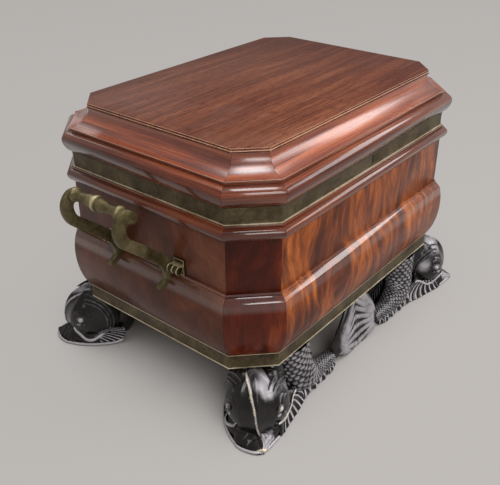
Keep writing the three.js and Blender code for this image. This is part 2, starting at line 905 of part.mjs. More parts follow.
// Lid: rail lengths with the torus nose, cove lengths on them, top board and soffit
function torusProfile() {
  return [
    [-railWidth, lidZ],
    ...nose(lidZ, lidZ + torusHeight, torusDepth, 0.62, 1.5, 6),
    [-railWidth, lidZ + torusHeight],
  ];
}

function coveProfile() {
  const quirkTop = coveZ + quirkHeight;
  const footZ = quirkTop + coveFillet;
  const neckZ = coveTopZ - coveNeck;
  const profile = [
    [-coveInnerInset, coveZ],
    [-quirkInset, coveZ],
    [-quirkInset, quirkTop],
    [-coveFootInset, quirkTop],
  ];
  const steps = 8;
  const power = 2 / 1.7;
  for (let i = 0; i <= steps; i++) {
    const angle = (Math.PI / 2) * (1 - i / steps);
    const inwards = Math.abs(Math.cos(angle)) ** power;
    const down = Math.abs(Math.sin(angle)) ** power;
    profile.push([
      -coveFootInset - (coveTopInset - coveFootInset) * inwards,
      neckZ - (neckZ - footZ) * down,
    ]);
  }
  profile.push([-coveTopInset, coveTopZ], [-coveInnerInset, coveTopZ]);
  return profile;
}

sideNames.forEach((name, side) => {
  let rail = mitredLength(torusProfile(), side);
  if (name === "front") {
    rail = geometryOf(solidOf(rail).subtract(linkSocket));
  }
  if (name === "back") {
    rail = geometryOf(solidOf(rail).subtract(lidSockets));
  }
  addPiece(`lid_torus_${name}`, rail, "moulding");
  addPiece(`lid_cove_${name}`, mitredLength(coveProfile(), side), "moulding");
});
addPiece(
  "lid_top_board",
  plannedSolid([
    [-boardInset - boardArris, lidTopZ - boardThickness],
    [-boardInset, lidTopZ - boardThickness + boardArris],
    [-boardInset, lidTopZ - boardArris],
    [-boardInset - boardArris, lidTopZ],
  ]),
  "top",
);
const soffitZ = lidZ + soffitSet;
addPiece(
  "lid_soffit",
  plannedSolid([
    [-railWidth - seatGap, soffitZ],
    [-railWidth - seatGap, soffitZ + soffitThickness],
  ]),
  "inner",
);
addPiece("lock_link_plate", linkPlate(), "steel");

// Each hinge: the case leaf holds the pin in its two outer knuckles, the lid leaf turns on it
[["left", -1], ["right", 1]].forEach(([name, end]) => {
  const x = end * hingeSpreadShare * wallHalfLength;
  const half = hingeLength / 2;
  const inner = knuckleLength / 2 + seatGap;
  const axis = [hingeY, hingeZ];
  const caseSolid = joined([
    boxBetween([x - half, hingeY - leafWidth, rimZ - leafThickness], [x + half, hingeY, rimZ]),
    roundBar("x", knuckleRadius, x - half, x - inner, axis),
    roundBar("x", knuckleRadius, x + inner, x + half, axis),
  ]);
  const lidRoom = joined([
    roundBar("x", knuckleRoom, x - inner, x + inner, axis),
    boxBetween([x - inner, hingeY - knuckleRoom, rimZ - overrun], [x + inner, hingeY + overrun, lidZ]),
  ]);
  const pin = solidOf(roundBar("x", hingePinRadius, x - half, x + half, axis));
  addPiece(`hinge_case_leaf_${name}`, geometryOf(caseSolid.subtract(lidRoom).add(pin)), "hingeBrass");
  const lidSolid = joined([
    boxBetween([x - half, hingeY - leafWidth, lidZ], [x + half, hingeY - knuckleRoom, lidZ + leafThickness]),
    boxBetween(
      [x - knuckleLength / 2, hingeY - knuckleRoom - overrun, lidZ],
      [x + knuckleLength / 2, hingeY, lidZ + leafThickness],
    ),
    roundBar("x", knuckleRadius, x - knuckleLength / 2, x + knuckleLength / 2, axis),
  ]);
  const bore = solidOf(
    roundBar("x", hingePinRadius + seatGap, x - half - overrun, x + half + overrun, axis),
  );
  addPiece(`hinge_lid_leaf_${name}`, geometryOf(lidSolid.subtract(bore)), "hingeBrass");
});

// Handles: two flat scroll arms and a turned grip, which swing on posts at the end wall
const pivotX = wallHalfLength + pivotSet;
const pivotZ = shoulderZ + pivotRise;
const armSpineShares = [
  [0.18, -0.262], [0.1, -0.238], [0.04, -0.197], [0.004, -0.138], [-0.004, -0.065], [0.02, 0.01],
  [0.1, 0.115], [0.25, 0.225], [0.52, 0.4], [0.77, 0.555], [0.9, 0.645], [0.965, 0.74],
  [0.985, 0.84], [0.95, 0.92], [0.87, 0.97], [0.78, 0.965], [0.69, 0.93],
];
const armWidthShares = [
  0.52, 0.56, 0.6, 0.68, 0.82, 0.96, 0.95, 0.95, 0.95, 0.92, 0.92, 0.95, 1, 1.02, 1.05, 1.05, 0.9,
];

// The outline of an arm, u outwards from the pivot and w up, and the hole for its pin.
function armShape() {
  const curve = new THREE.CatmullRomCurve3(
    armSpineShares.map(([u, w]) => new THREE.Vector3(u * armReach, w * armRise, 0)),
  );
  const steps = 34;
  const left = [];
  const right = [];
  for (let i = 0; i <= steps; i++) {
    const share = i / steps;
    const at = curve.getPoint(share);
    const along = curve.getTangent(share);
    const place = share * (armWidthShares.length - 1);
    const k = Math.min(Math.floor(place), armWidthShares.length - 2);
    const width = THREE.MathUtils.lerp(armWidthShares[k], armWidthShares[k + 1], place - k);
    const side = new THREE.Vector3(-along.y, along.x, 0).setLength((width * armWidth) / 2);
    left.push(at.clone().add(side));
    right.push(at.clone().sub(side));
  }
  const roundEnd = (centre, start, turns) => {
    const arm = start.clone().sub(centre);
    return turns.map((turn) =>
      centre.clone().add(arm.clone().applyAxisAngle(new THREE.Vector3(0, 0, 1), turn * Math.PI)));
  };
  const turns = [-0.25, -0.5, -0.75];
  const outline = [
    ...left,
    ...roundEnd(curve.getPoint(1), left[steps], turns),
    ...right.reverse(),
    ...roundEnd(curve.getPoint(0), right[right.length - 1], turns),
  ];
  const shape = new THREE.Shape(outline.reverse().map((p) => new THREE.Vector2(p.x, p.y)));
  shape.holes.push(new THREE.Path().absarc(0, 0, pivotRadius + pivotClearance, 0, 2 * Math.PI, true));
  return shape;
}

function gripProfile(halfLength) {
  const radiusShares = [
    [1, 0], [1, 0.86], [0.94, 1.04], [0.84, 1], [0.74, 0.7], [0.62, 0.58], [0.42, 0.72], [0.22, 0.9],
    [0.1, 0.86], [0.06, 0.7], [0.04, 1.04], [0, 1.06],
  ];
  const half = radiusShares.map(([y, r]) => new THREE.Vector2(r * gripRadius, y * halfLength));
  const mirrored = half.slice(0, -1).reverse().map((p) => new THREE.Vector2(p.x, -p.y));
  return [...half, ...mirrored].reverse();
}

// A post: a plate on the wall beside the arm, a round knuckle and the pin with its riveted head
function handlePost(side) {
  const inner = armInside + armThickness + postGap;
  const outer = inner + postThickness;
  const wallX = wallHalfLength + wallFlare + seatGap;
  const pinEnd = armInside - seatGap;
  const [y0, y1] = side > 0 ? [inner, outer] : [-outer, -inner];
  const [p0, p1] = side > 0 ? [pinEnd, outer] : [-outer, -pinEnd];
  const [r0, r1] = side > 0 ? [pinEnd - rivetHeight, pinEnd] : [-pinEnd, rivetHeight - pinEnd];
  return geometryOf(
    joined([
      boxBetween([wallX, y0, pivotZ - postHalfHeight], [wallX + postPlate, y1, pivotZ + postHalfHeight]),
      boxBetween([wallX, y0, pivotZ - knuckleRound], [pivotX, y1, pivotZ + knuckleRound]),
      roundBar("y", knuckleRound, y0, y1, [pivotX, pivotZ], 20),
      roundBar("y", pivotRadius, p0, p1, [pivotX, pivotZ]),
      roundBar("y", rivetRadius, r0, r1, [pivotX, pivotZ]),
    ]),
  );
}

const armOutline = armShape();
for (const [end, endSign] of [["right", 1], ["left", -1]]) {
  for (const [row, rowSign] of [["front", -1], ["back", 1]]) {
    const arm = new THREE.ExtrudeGeometry(armOutline, {
      depth: armThickness,
      bevelEnabled: false,
      curveSegments: 12,
    })
      .rotateX(Math.PI / 2)
      .translate(pivotX, rowSign > 0 ? armInside + armThickness : -armInside, pivotZ);
    addPiece(`handle_${end}_arm_${row}`, arm, "handleBrass").scale.set(endSign, 1, 1);
    addPiece(`handle_${end}_post_${row}`, handlePost(rowSign), "handleBrass").scale.set(endSign, 1, 1);
  }
  const grip = new THREE.LatheGeometry(gripProfile(armInside - seatGap), 16).translate(
    pivotX + armReach - gripSet,
    0,
    pivotZ + armRise + gripLift,
  );
  addPiece(`handle_${end}_grip`, geometryOf(solidOf(grip)), "handleBrass").scale.set(endSign, 1, 1);
}

export default cellarette;
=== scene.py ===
import json
import math

import bpy
import numpy as np
from mathutils import Matrix, Vector

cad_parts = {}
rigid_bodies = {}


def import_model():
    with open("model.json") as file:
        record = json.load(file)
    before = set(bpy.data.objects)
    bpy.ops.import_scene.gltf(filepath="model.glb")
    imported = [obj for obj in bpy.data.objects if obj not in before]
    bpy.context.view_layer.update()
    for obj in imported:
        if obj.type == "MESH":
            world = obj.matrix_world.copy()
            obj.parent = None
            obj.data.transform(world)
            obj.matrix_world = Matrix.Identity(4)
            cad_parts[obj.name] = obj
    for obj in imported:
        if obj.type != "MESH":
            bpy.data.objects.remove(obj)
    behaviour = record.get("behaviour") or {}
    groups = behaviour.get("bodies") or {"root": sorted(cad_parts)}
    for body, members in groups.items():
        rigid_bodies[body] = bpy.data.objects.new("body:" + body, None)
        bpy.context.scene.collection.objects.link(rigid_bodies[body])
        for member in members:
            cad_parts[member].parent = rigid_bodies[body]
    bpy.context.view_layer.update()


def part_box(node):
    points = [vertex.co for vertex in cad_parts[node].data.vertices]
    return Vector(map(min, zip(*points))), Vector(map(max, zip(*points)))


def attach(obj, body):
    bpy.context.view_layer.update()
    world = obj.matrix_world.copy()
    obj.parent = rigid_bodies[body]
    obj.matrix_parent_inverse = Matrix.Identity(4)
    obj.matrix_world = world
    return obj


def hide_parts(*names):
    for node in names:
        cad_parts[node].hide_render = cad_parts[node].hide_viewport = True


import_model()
for node in bpy.context.selected_objects:
    node.select_set(False)


# Camera
# It stands off the left front corner of the cellarette, a little over a metre away and looking down
# at thirty degrees, with a lens slightly longer than the eye's.
camera_place = (-1.1296, -0.8796, 0.9965)
camera = bpy.data.objects.new("camera", bpy.data.cameras.new("camera"))
bpy.context.collection.objects.link(camera)
camera.data.sensor_width = 36
camera.data.lens = 51.0
heading, tilt, lean = math.radians(-50.6475), math.radians(29.9992), math.radians(-0.3211)
behind = Vector((math.sin(heading) * math.cos(tilt), -math.cos(heading) * math.cos(tilt), math.sin(tilt)))
level = Vector((math.cos(heading), math.sin(heading), 0))
above = behind.cross(level)
sideways = level * math.cos(lean) + above * math.sin(lean)
upright = behind.cross(sideways)
turned = Matrix((sideways, upright, behind)).transposed().to_4x4()
camera.matrix_world = Matrix.Translation(camera_place) @ turned
bpy.context.scene.camera = camera
bpy.context.scene.view_settings.view_transform = "Standard"


# Studio
# A plain pale grey floor that runs out of sight and darkens only close to the feet. Five soft lamps
# light it: a long one high on the right, one overhead, a window from the left front, and two weak
# ones, from the front and the back.
def chip(code):
    """A colour from its six-figure chip, as the light that it gives back."""
    shares = [int(code[i : i + 2], 16) / 255 for i in (0, 2, 4)]
    return tuple(s / 12.92 if s <= 0.04045 else ((s + 0.055) / 1.055) ** 2.4 for s in shares)


class Reading:
    """A value in a finish, on which sums can be written."""

    def __init__(self, finish, socket):
        self.finish, self.socket = finish, socket

    def work(self, operation, other):
        return self.finish.add("Math", {"operation": operation}, (self, other))

    def __add__(self, other):
        return self.work("ADD", other)

    def __sub__(self, other):
        return self.work("SUBTRACT", other)

    def __mul__(self, other):
        return self.work("MULTIPLY", other)

    def __rsub__(self, other):
        return self * -1 + other

    __radd__ = __add__
    __rmul__ = __mul__


class Finish:
    """A material in the making: add() puts in one node and gives the value it is read by."""

    def __init__(self, name):
        self.material = bpy.data.materials.new(name)
        self.material.use_nodes = True
        self.tree = self.material.node_tree
        self.tree.nodes.clear()

    def add(self, kind, settings=None, sockets=(), out=0):
        node = self.tree.nodes.new("ShaderNode" + kind)
        for setting, value in (settings or {}).items():
            if setting == "stops":
                stops = node.color_ramp.elements
                stops[0].position, stops[-1].position = value[0][0], value[-1][0]
                stops[0].color, stops[-1].color = (*value[0][1], 1), (*value[-1][1], 1)
                for place, colour in value[1:-1]:
                    stops.new(place).color = (*colour, 1)
            else:
                setattr(node, setting, value)
        for key, value in sockets.items() if isinstance(sockets, dict) else enumerate(sockets):
            if isinstance(value, Reading):
                self.tree.links.new(value.socket, node.inputs[key])
            else:
                node.inputs[key].default_value = value
        return Reading(self, node.outputs[out]) if node.outputs else None


def between(value, low, high, to_low=0.0, to_high=1.0):
    """Ease from one level to another while a value goes from low to high."""
    settings = {"interpolation_type": "SMOOTHSTEP"}
    return value.finish.add("MapRange", settings, [value, low, high, to_low, to_high])


floor_colour = (*chip("bebab7"), 1)
bpy.ops.mesh.primitive_plane_add(size=30)
floor = bpy.context.object
floor.name = "studio_floor"
paper = Finish("studio_paper")
seen, mirrored, through = (paper.add("LightPath", out=way) for way in (0, 3, 6))
lit = paper.add("BsdfDiffuse", {}, {"Color": (*chip("aeaaa7"), 1)})
plain = paper.add("Emission", {}, {"Color": floor_colour, "Strength": 1.0})
shown = seen.work("MAXIMUM", mirrored.work("MAXIMUM", through))
nearby = paper.add("AmbientOcclusion", {"samples": 16}, {"Distance": 0.3}, out=1)
open_air = between(nearby, 0.2, 0.8, 0.0, 0.82)
paper.add("OutputMaterial", {}, {"Surface": paper.add("MixShader", {}, [shown * open_air, lit, plain])})
floor.data.materials.append(paper.material)

world = bpy.data.worlds.new("studio_air")
bpy.context.scene.world = world
world.use_nodes = True
air = world.node_tree.nodes["Background"]
air.inputs["Color"].default_value = floor_colour
air.inputs["Strength"].default_value = 0.66

for name, place, aim, size, power in (
    ("light_right", (2.55, -1.95, 2.7), (0.0, -0.2, 0.4), (3.7, 1.7), 80),
    ("light_overhead", (-0.15, -0.3, 2.1), (-0.1, -0.25, 0.4), (1.0, 0.85), 22),
    ("light_window", (-1.45, -2.35, 1.95), (0.0, -0.1, 0.15), (1.7, 1.3), 38),
    ("light_front", (1.0, -3.4, 2.2), (0.1, -0.1, 0.3), (1.6, 1.2), 8),
    ("light_back", (1.0, 2.6, 1.7), (0.0, 0.0, 0.5), (1.4, 1.0), 3),
):
    lamp = bpy.data.objects.new(name, bpy.data.lights.new(name, "AREA"))
    bpy.context.collection.objects.link(lamp)
    lamp.data.shape = "RECTANGLE"
    lamp.data.size, lamp.data.size_y = size
    lamp.data.energy = power
    lamp.location = place
    lamp.rotation_euler = (Vector(place) - Vector(aim)).to_track_quat("Z", "Y").to_euler()


# Bottom board and liner
# A pine board closes the case from below, and a tub of sheet zinc, dulled by ice and water, stands
# on it and fills the well to just under the rim.
def laid(place, scale, shift=(0, 0, 0)):
    """Lay a pattern on a place, so many repeats to the metre each way."""
    return place.finish.add("Mapping", {}, {"Vector": place, "Location": shift, "Scale": scale})


def on_object(finish, scale):
    return laid(finish.add("TexCoord", out=3), scale)


def noise(place, detail, rough=0.55, bend=0.0):
    sockets = {"Vector": place, "Scale": 1.0, "Detail": detail, "Roughness": rough, "Distortion": bend}
    return place.finish.add("TexNoise", {}, sockets)


def ramp(value, *stops):
    """Tones along a value: each stop is its place and the code of its chip."""
    tones = [(place, chip(code)) for place, code in stops]
    return value.finish.add("ValToRGB", {"stops": tones}, [value])


def blend(under, over, share, way="MIX"):
    """Lay one colour over another. A plain one is the code of its chip."""
    over = (*chip(over), 1) if isinstance(over, str) else over
    settings = {"data_type": "RGBA", "blend_type": way, "clamp_factor": True}
    return under.finish.add("Mix", settings, {0: share, 6: under, 7: over}, out=2)


def bump(height, depth, strength):
    return height.finish.add("Bump", {}, {"Height": height, "Distance": depth, "Strength": strength})


def surface(finish, **sockets):
    named = {key.replace("_", " "): value for key, value in sockets.items()}
    finish.add("OutputMaterial", {}, {"Surface": finish.add("BsdfPrincipled", {}, named)})
    return finish.material


def wear(finish, *nodes):
    """Give carried-over nodes this finish in place of the plain one they came with."""
    for name in nodes:
        for place in bpy.data.objects[name].material_slots:
            place.link = "OBJECT"
            place.material = finish


pine = Finish("pine")
boards = noise(on_object(pine, (3, 60, 20)), 4)
fibres = noise(on_object(pine, (25, 900, 400)), 2)
dirt = noise(on_object(pine, (6, 6, 6)), 5)
pine_face = ramp(boards * 0.75 + fibres * 0.25, (0.3, "6b4a2d"), (0.7, "93693f"))
pine_finish = surface(
    pine,
    Base_Color=blend(pine_face, "3a2a1e", between(dirt, 0.45, 0.75, 0.0, 0.5)),
    Roughness=0.75,
    Normal=bump(boards + fibres, 0.0006, 0.6),
)
wear(pine_finish, "bottom_board")

zinc = Finish("zinc")
clouds = noise(on_object(zinc, (9, 9, 9)), 7, rough=0.65, bend=0.4)
spangle = zinc.add("TexVoronoi", {}, {"Vector": on_object(zinc, (60, 60, 60)), "Scale": 1.0}, out=1)
scratches = noise(on_object(zinc, (40, 700, 300)), 2)
zinc_tone = clouds * 0.8 + zinc.add("RGBToBW", {}, [spangle]) * 0.2
zinc_finish = surface(
    zinc,
    Base_Color=ramp(zinc_tone, (0.3, "5d6163"), (0.55, "83888a"), (0.8, "a3a6a4")),
    Metallic=0.9,
    Roughness=between(clouds, 0.3, 0.7, 0.38, 0.62),
    Normal=bump(scratches + clouds * 2, 0.0004, 0.4),
)
wear(zinc_finish, "well_liner")


# Lower walls
# Eight boards of pine, thick enough to be shaped into the swelling flank, meet in mitres at the
# corners. Mahogany is laid over them: flame figure on the long sides, plain dark wood elsewhere.
half_length, half_depth, cant_leg = 0.361, 0.263, 0.068
wall_thickness = 0.022
joint, fit = 0.00015, 0.0003
side_names = "front front_right right back_right back back_left left front_left".split()


def plan(offset):
    """The eight corners of the case's plan, moved out by an offset."""
    a, b = half_length + offset, half_depth + offset
    c = cant_leg + (2 - math.sqrt(2)) * offset
    front_and_right = [(c - a, -b), (a - c, -b), (a, c - b), (a, b - c)]
    back_and_left = [(a - c, b), (c - a, b), (-a, b - c), (-a, c - b)]
    return [Vector((x, y, 0)) for x, y in front_and_right + back_and_left]


def side_lines(side):
    """The two corners of a side of the plan, the way along it and the way out from it."""
    corners = plan(0)
    start, end = corners[side], corners[(side + 1) % 8]
    along = (end - start).normalized()
    return start, end, along, Vector((along.y, -along.x, 0))


def mitres(side):
    """Each mitre of a side: its corner, the way towards it, and the way that the saw cut faces."""
    start, end, along, outwards = side_lines(side)
    for corner, towards in ((start, -along), (end, along)):
        yield corner, towards, (towards - outwards * math.tan(math.pi / 8)).normalized()


def only(thing):
    for chosen in bpy.context.selected_objects:
        chosen.select_set(False)
    thing.select_set(True)
    bpy.context.view_layer.objects.active = thing


def edit(thing):
    only(thing)
    bpy.ops.object.mode_set(mode="EDIT")
    bpy.ops.mesh.select_mode(type="FACE")
    bpy.ops.mesh.select_all(action="SELECT")


def done():
    bpy.ops.object.mode_set(mode="OBJECT")


def flat_face(name, places):
    """One flat face whose outline runs through the places, ready to be drawn out."""
    bpy.ops.mesh.primitive_circle_add(vertices=len(places), radius=0.1, fill_type="NGON")
    piece = bpy.context.object
    piece.name = name
    for vertex, place in zip(piece.data.vertices, places):
        vertex.co = place
    edit(piece)
    return piece


def draw_out(by):
    bpy.ops.mesh.extrude_region_move(TRANSFORM_OT_translate={"value": by})


def face_outwards():
    """Turn every face of the piece in hand outwards, and leave edit mode."""
    bpy.ops.mesh.select_all(action="SELECT")
    bpy.ops.mesh.normals_make_consistent(inside=False)
    done()


def soften(thing, width, segments=2, angle=35, slot=-1):
    """Ease every arris and let curves run smooth. The eased arrises can take another finish."""
    only(thing)
    easing = thing.modifiers.new("easing", "BEVEL")
    easing.width, easing.segments, easing.limit_method = width, segments, "ANGLE"
    easing.angle_limit = math.radians(angle)
    easing.use_clamp_overlap = True
    easing.material = slot
    bpy.ops.object.modifier_apply(modifier="easing")
    bpy.ops.object.shade_smooth_by_angle(angle=math.radians(32))


def mitred_length(name, outline, side, gap=joint, cap=True):
    """Run a length of moulding along one side of the plan and saw both its mitres."""
    start, end, along, outwards = side_lines(side)
    middle = (start + end) / 2
    spare = 0.08
    reach = (end - start).length / 2 + spare
    ends = [middle + outwards * out - along * reach + Vector((0, 0, height)) for out, height in outline]
    piece = flat_face(name, ends)
    draw_out(along * reach * 2)
    for corner, towards, saw in mitres(side):
        bpy.ops.mesh.select_all(action="SELECT")
        bpy.ops.mesh.bisect(plane_co=corner - towards * gap, plane_no=saw, clear_outer=True, use_fill=cap)
    face_outwards()
    return piece


def lay_grain(piece, side, shift=0.0):
    """Lay the grain's own map on a length: along it and round its moulding, in metres."""
    _, _, along, outwards = side_lines(side)
    start = side * 1.37 + shift
    grain = piece.data.uv_layers.new(name="grain")
    for face in piece.data.polygons:
        flat = abs(face.normal.z) > 0.8
        for loop in face.loop_indices:
            at = piece.data.vertices[piece.data.loops[loop].vertex_index].co
            grain.data[loop].uv = (at.dot(along) + start, at.dot(outwards) if flat else at.z)


def rounded_nose(foot, top, depth, widest, squareness, steps=14):
    """A nose from its foot to its top, widest at a share of the height."""
    wide = foot + (top - foot) * widest
    points = []
    for i in range(2 * steps + 1):
        angle = math.pi / 2 * (i / steps - 1)
        power = 2 / squareness if angle < 0 else 1
        out = depth * abs(math.cos(angle)) ** power
        up = abs(math.sin(angle)) ** power
        points.append((out, wide - (wide - foot) * up if angle < 0 else wide + (top - wide) * up))
    points[0] = (0, foot)
    points[-1] = (0, top)
    return points


underside, board_top, band_top, bulge, shoulder = 0.128, 0.146, 0.159, 0.245, 0.299
wall_foot, flank_foot, behind_band = board_top + fit, band_top + fit, -0.0044
bulge_out, flank_height, flank_depth = 0.0205, 0.1, 0.045
lower_outline = [(-wall_thickness, wall_foot), (behind_band, wall_foot), (behind_band, flank_foot)]
for i in range(18):
    z = flank_foot + (bulge - flank_foot) * i / 18
    drop = min((bulge - z) / flank_height, 1)
    lower_outline.append((bulge_out - flank_depth * (1 - math.sqrt(1 - drop * drop)), z))
out, z = bulge_out, bulge
for length, low, high in ((0.038, 0, 14), (0.003, 14, 38), (0.011, 38, 54), (0.003, 54, 80)):
    for i in range(5):
        slope = math.radians(low + (high - low) * (i + 0.5) / 5)
        lower_outline.append((out, z))
        out, z = out - length / 5 * math.sin(slope), z + length / 5 * math.cos(slope)
lower_outline += [(out, z), (0.0045, shoulder), (-wall_thickness, shoulder)]


def veneer(name, tones, figure, streak, seed, painted_reflection_haze):
    """Polished mahogany veneer, its figure standing upright: tones run from dark to bright."""
    wood = Finish(name)
    sheet = wood.add("UVMap", {"uv_map": "grain"})
    roll = noise(laid(sheet, (5.5, 3, 1), (seed, 0, 0)), 2) - 0.5
    sway = noise(laid(sheet, (15, 8, 1), (seed, 3, 0)), 2) - 0.5
    across, up = (wood.add("SeparateXYZ", {}, [sheet], out=way) for way in (0, 1))
    bent = wood.add("CombineXYZ", {}, [across + roll * 0.16 + sway * 0.03, up + sway * 0.05, seed])
    flames = noise(laid(bent, (figure, 3.4, 1)), 6, rough=0.62, bend=0.5)
    tongues = noise(laid(bent, (figure * 4.4, 8, 1)), 5, rough=0.62, bend=0.3)
    threads = noise(laid(bent, (700, 22, 1)), 2)
    pores = noise(laid(sheet, (1300, 150, 1)), 1)
    blotches = noise(laid(sheet, (9, 12, 1), (0, 0, seed)), 6, rough=0.7)
    face = ramp(between(flames * (1 - streak) + tongues * streak, 0.33, 0.67), *tones)
    face = blend(face, ramp(threads, (0.35, "8d8d8d"), (0.7, "ffffff")), 0.5, "MULTIPLY")
    face = blend(face, "2a130c", between(pores, 0.6, 0.72, 0.0, 0.55))
    # Painted reflection: grey blotches laid over the figure, none on the cants and most on the ends, a
    # greyish sheen of reflected light put into the colour.
    face = blend(face, "8c7a70", between(blotches, 0.5, 0.8, 0.0, painted_reflection_haze))
    return surface(
        wood,
        Base_Color=face,
        Roughness=between(blotches + threads * 0.2, 0.4, 0.8, 0.24, 0.42),
        Specular_IOR_Level=0.15,
        # The polish is thickest round the shoulder and dull below and above it.
        Coat_Weight=between(up, 0.262, 0.275, 0.08, 0.9) * between(up, 0.303, 0.3, 0.08, 1.0),
        Coat_Roughness=0.12,
        Coat_IOR=1.9,
        Normal=bump(threads * 0.5 + blotches * 0.5 - pores * 0.3, 0.00025, 0.35),
    )


flame_tones = ((0.0, "4c2417"), (0.3, "703822"), (0.55, "954d27"), (0.75, "b6622c"), (1.0, "d57f3f"))
dark_tones = ((0.0, "2d0c05"), (0.45, "4a1609"), (0.8, "67240d"), (1.0, "8c3e17"))
end_tones = ((0.0, "43241a"), (0.45, "633726"), (0.8, "7a4732"), (1.0, "8d563c"))
# The last number of each veneer is its share of painted reflection haze.
flame_wood = veneer("flame_mahogany", flame_tones, 13.0, 0.45, 2.0, 0.05)
dark_wood = veneer("dark_mahogany", dark_tones, 6.0, 0.3, 5.0, 0.0)
end_wood = veneer("end_mahogany", end_tones, 5.0, 0.25, 9.0, 0.14)
side_wood = {"front": flame_wood, "back": flame_wood, "left": end_wood, "right": end_wood}

for side, name in enumerate(side_names):
    wall = mitred_length(f"shaped_lower_wall_{name}", lower_outline, side)
    soften(wall, 0.0005)
    lay_grain(wall, side)
    wall.data.materials.append(side_wood.get(name, dark_wood))
    wall.data.materials.append(pine_finish)
    for face in wall.data.polygons:
        if max(wall.data.vertices[v].co.z for v in face.vertices) < flank_foot + 0.0001:
            face.material_index = 1
    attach(wall, "case")
    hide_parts(f"lower_wall_{name}")


# Upper walls
# Eight flat boards under the same mahogany carry a bead moulding, planed from the solid and glued
# on, and a fillet above it. The rim is rebated outside for the brass frieze.
rim, frieze_foot, bead_foot, bead_top = 0.466, 0.434, 0.404, 0.431
upper_foot, wall_face, behind_frieze = shoulder + fit, 0.0012, -0.0037
hinge_axis = Vector((0, 0.2645, 0.4662))
hinge_reach = 0.0353
leaf_room = (rim - 0.0023, rim + 0.004)
key_half, key_foot, key_top = 0.0015, 0.442, 0.455
key_slot = ((-key_half, -0.27, key_foot), (key_half, -0.25, key_top))
upper_outline = [(-wall_thickness, upper_foot)]
upper_outline += [(wall_face, height) for height in (upper_foot, 0.352, bead_foot)]
upper_outline += rounded_nose(bead_foot, bead_top, 0.0145, 0.6, 1.7)[1:-1]
upper_outline += [(0.0038, bead_top), (0.0035, frieze_foot - fit), (behind_frieze, frieze_foot - fit)]
upper_outline += [(behind_frieze, rim), (-wall_thickness, rim)]


def moulding_wood(name, tones, seed, gloss=0.1, strength=1.5):
    """Straight-grained mahogany for mouldings, the grain along each length."""
    wood = Finish(name)
    sheet = wood.add("UVMap", {"uv_map": "grain"})
    broad = noise(laid(sheet, (2.5, 40, 1), (seed, 0, 0)), 3)
    lines = noise(laid(sheet, (7, 420, 1), (seed, 0, 0)), 3)
    pores = noise(laid(sheet, (120, 1500, 1)), 1)
    blotches = noise(laid(sheet, (14, 22, 1)), 6, rough=0.7)
    face = ramp(between(broad * 0.6 + lines * 0.4, 0.35, 0.65), *tones)
    face = blend(face, "2a120b", between(pores, 0.6, 0.72, 0.0, 0.5))
    face = blend(face, "a08474", between(blotches, 0.52, 0.8, 0.0, 0.08))
    return surface(
        wood,
        Base_Color=face,
        Roughness=between(blotches, 0.35, 0.75, 0.2, 0.36),
        Specular_IOR_Level=0.3,
        Coat_Weight=0.9,
        Coat_Roughness=gloss,
        Coat_IOR=strength,
        Normal=bump(lines * 0.6 + blotches * 0.6 - pores * 0.3, 0.00025, 0.3),
    )


red_tones = ((0.0, "3d170d"), (0.5, "602a17"), (1.0, "804023"))
# Pale arrises: partly rubbed wood, partly a painted highlight where light catches the edges.
rubbed_and_highlit_arris_tones = ((0.0, "9c7058"), (0.5, "b88c72"), (1.0, "d2ab90"))
moulding_finish = moulding_wood("moulding_mahogany", red_tones, 4.0)
rubbed_and_highlit_arris_finish = moulding_wood("rubbed_and_highlit_mahogany", rubbed_and_highlit_arris_tones, 7.0)


def block(low, high):
    bpy.ops.mesh.primitive_cube_add(size=1, location=(Vector(low) + Vector(high)) / 2)
    bpy.context.object.scale = Vector(high) - Vector(low)
    bpy.ops.object.transform_apply()
    return bpy.context.object


def cut_away(cutter, *pieces):
    """Cut the cutter's shape out of each piece, and put the cutter away."""
    for piece in pieces:
        only(piece)
        cut = piece.modifiers.new("cut", "BOOLEAN")
        cut.operation, cut.solver, cut.object = "DIFFERENCE", "EXACT", cutter
        bpy.ops.object.modifier_apply(modifier="cut")
    bpy.data.objects.remove(cutter)


def let_in(piece, low, high):
    """Cut a recess for a fitting with a box-shaped cutter."""
    cut_away(block(low, high), piece)


def let_in_hinges(piece, low, high):
    """Room for the leaves of both hinges, and for their knuckles."""
    _, y, z = hinge_axis
    for x in (-0.6 * half_length, 0.6 * half_length):
        left, right, knuckle = x - hinge_reach, x + hinge_reach, 0.0044
        let_in(piece, (left, y - 0.0203, low), (right, y + 0.004, high))
        let_in(piece, (left, y - knuckle, z - knuckle), (right, y + 0.0205, z + knuckle))


for side, name in enumerate(side_names):
    wall = mitred_length(f"faced_upper_wall_{name}", upper_outline, side)
    if name == "front":
        low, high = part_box("lock_case")
        let_in(wall, low - Vector((fit, fit, fit)), (high.x + fit, -0.2375, leaf_room[1]))
        let_in(wall, *key_slot)
    if name == "back":
        let_in_hinges(wall, *leaf_room)
    wall.data.materials.append(side_wood.get(name, dark_wood))
    wall.data.materials.append(moulding_finish)
    soften(wall, 0.0004)
    lay_grain(wall, side)
    for face in wall.data.polygons:
        if face.center.z > bead_foot + 0.0005:
            face.material_index = 1
    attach(wall, "case")
    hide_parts(f"upper_wall_{name}")


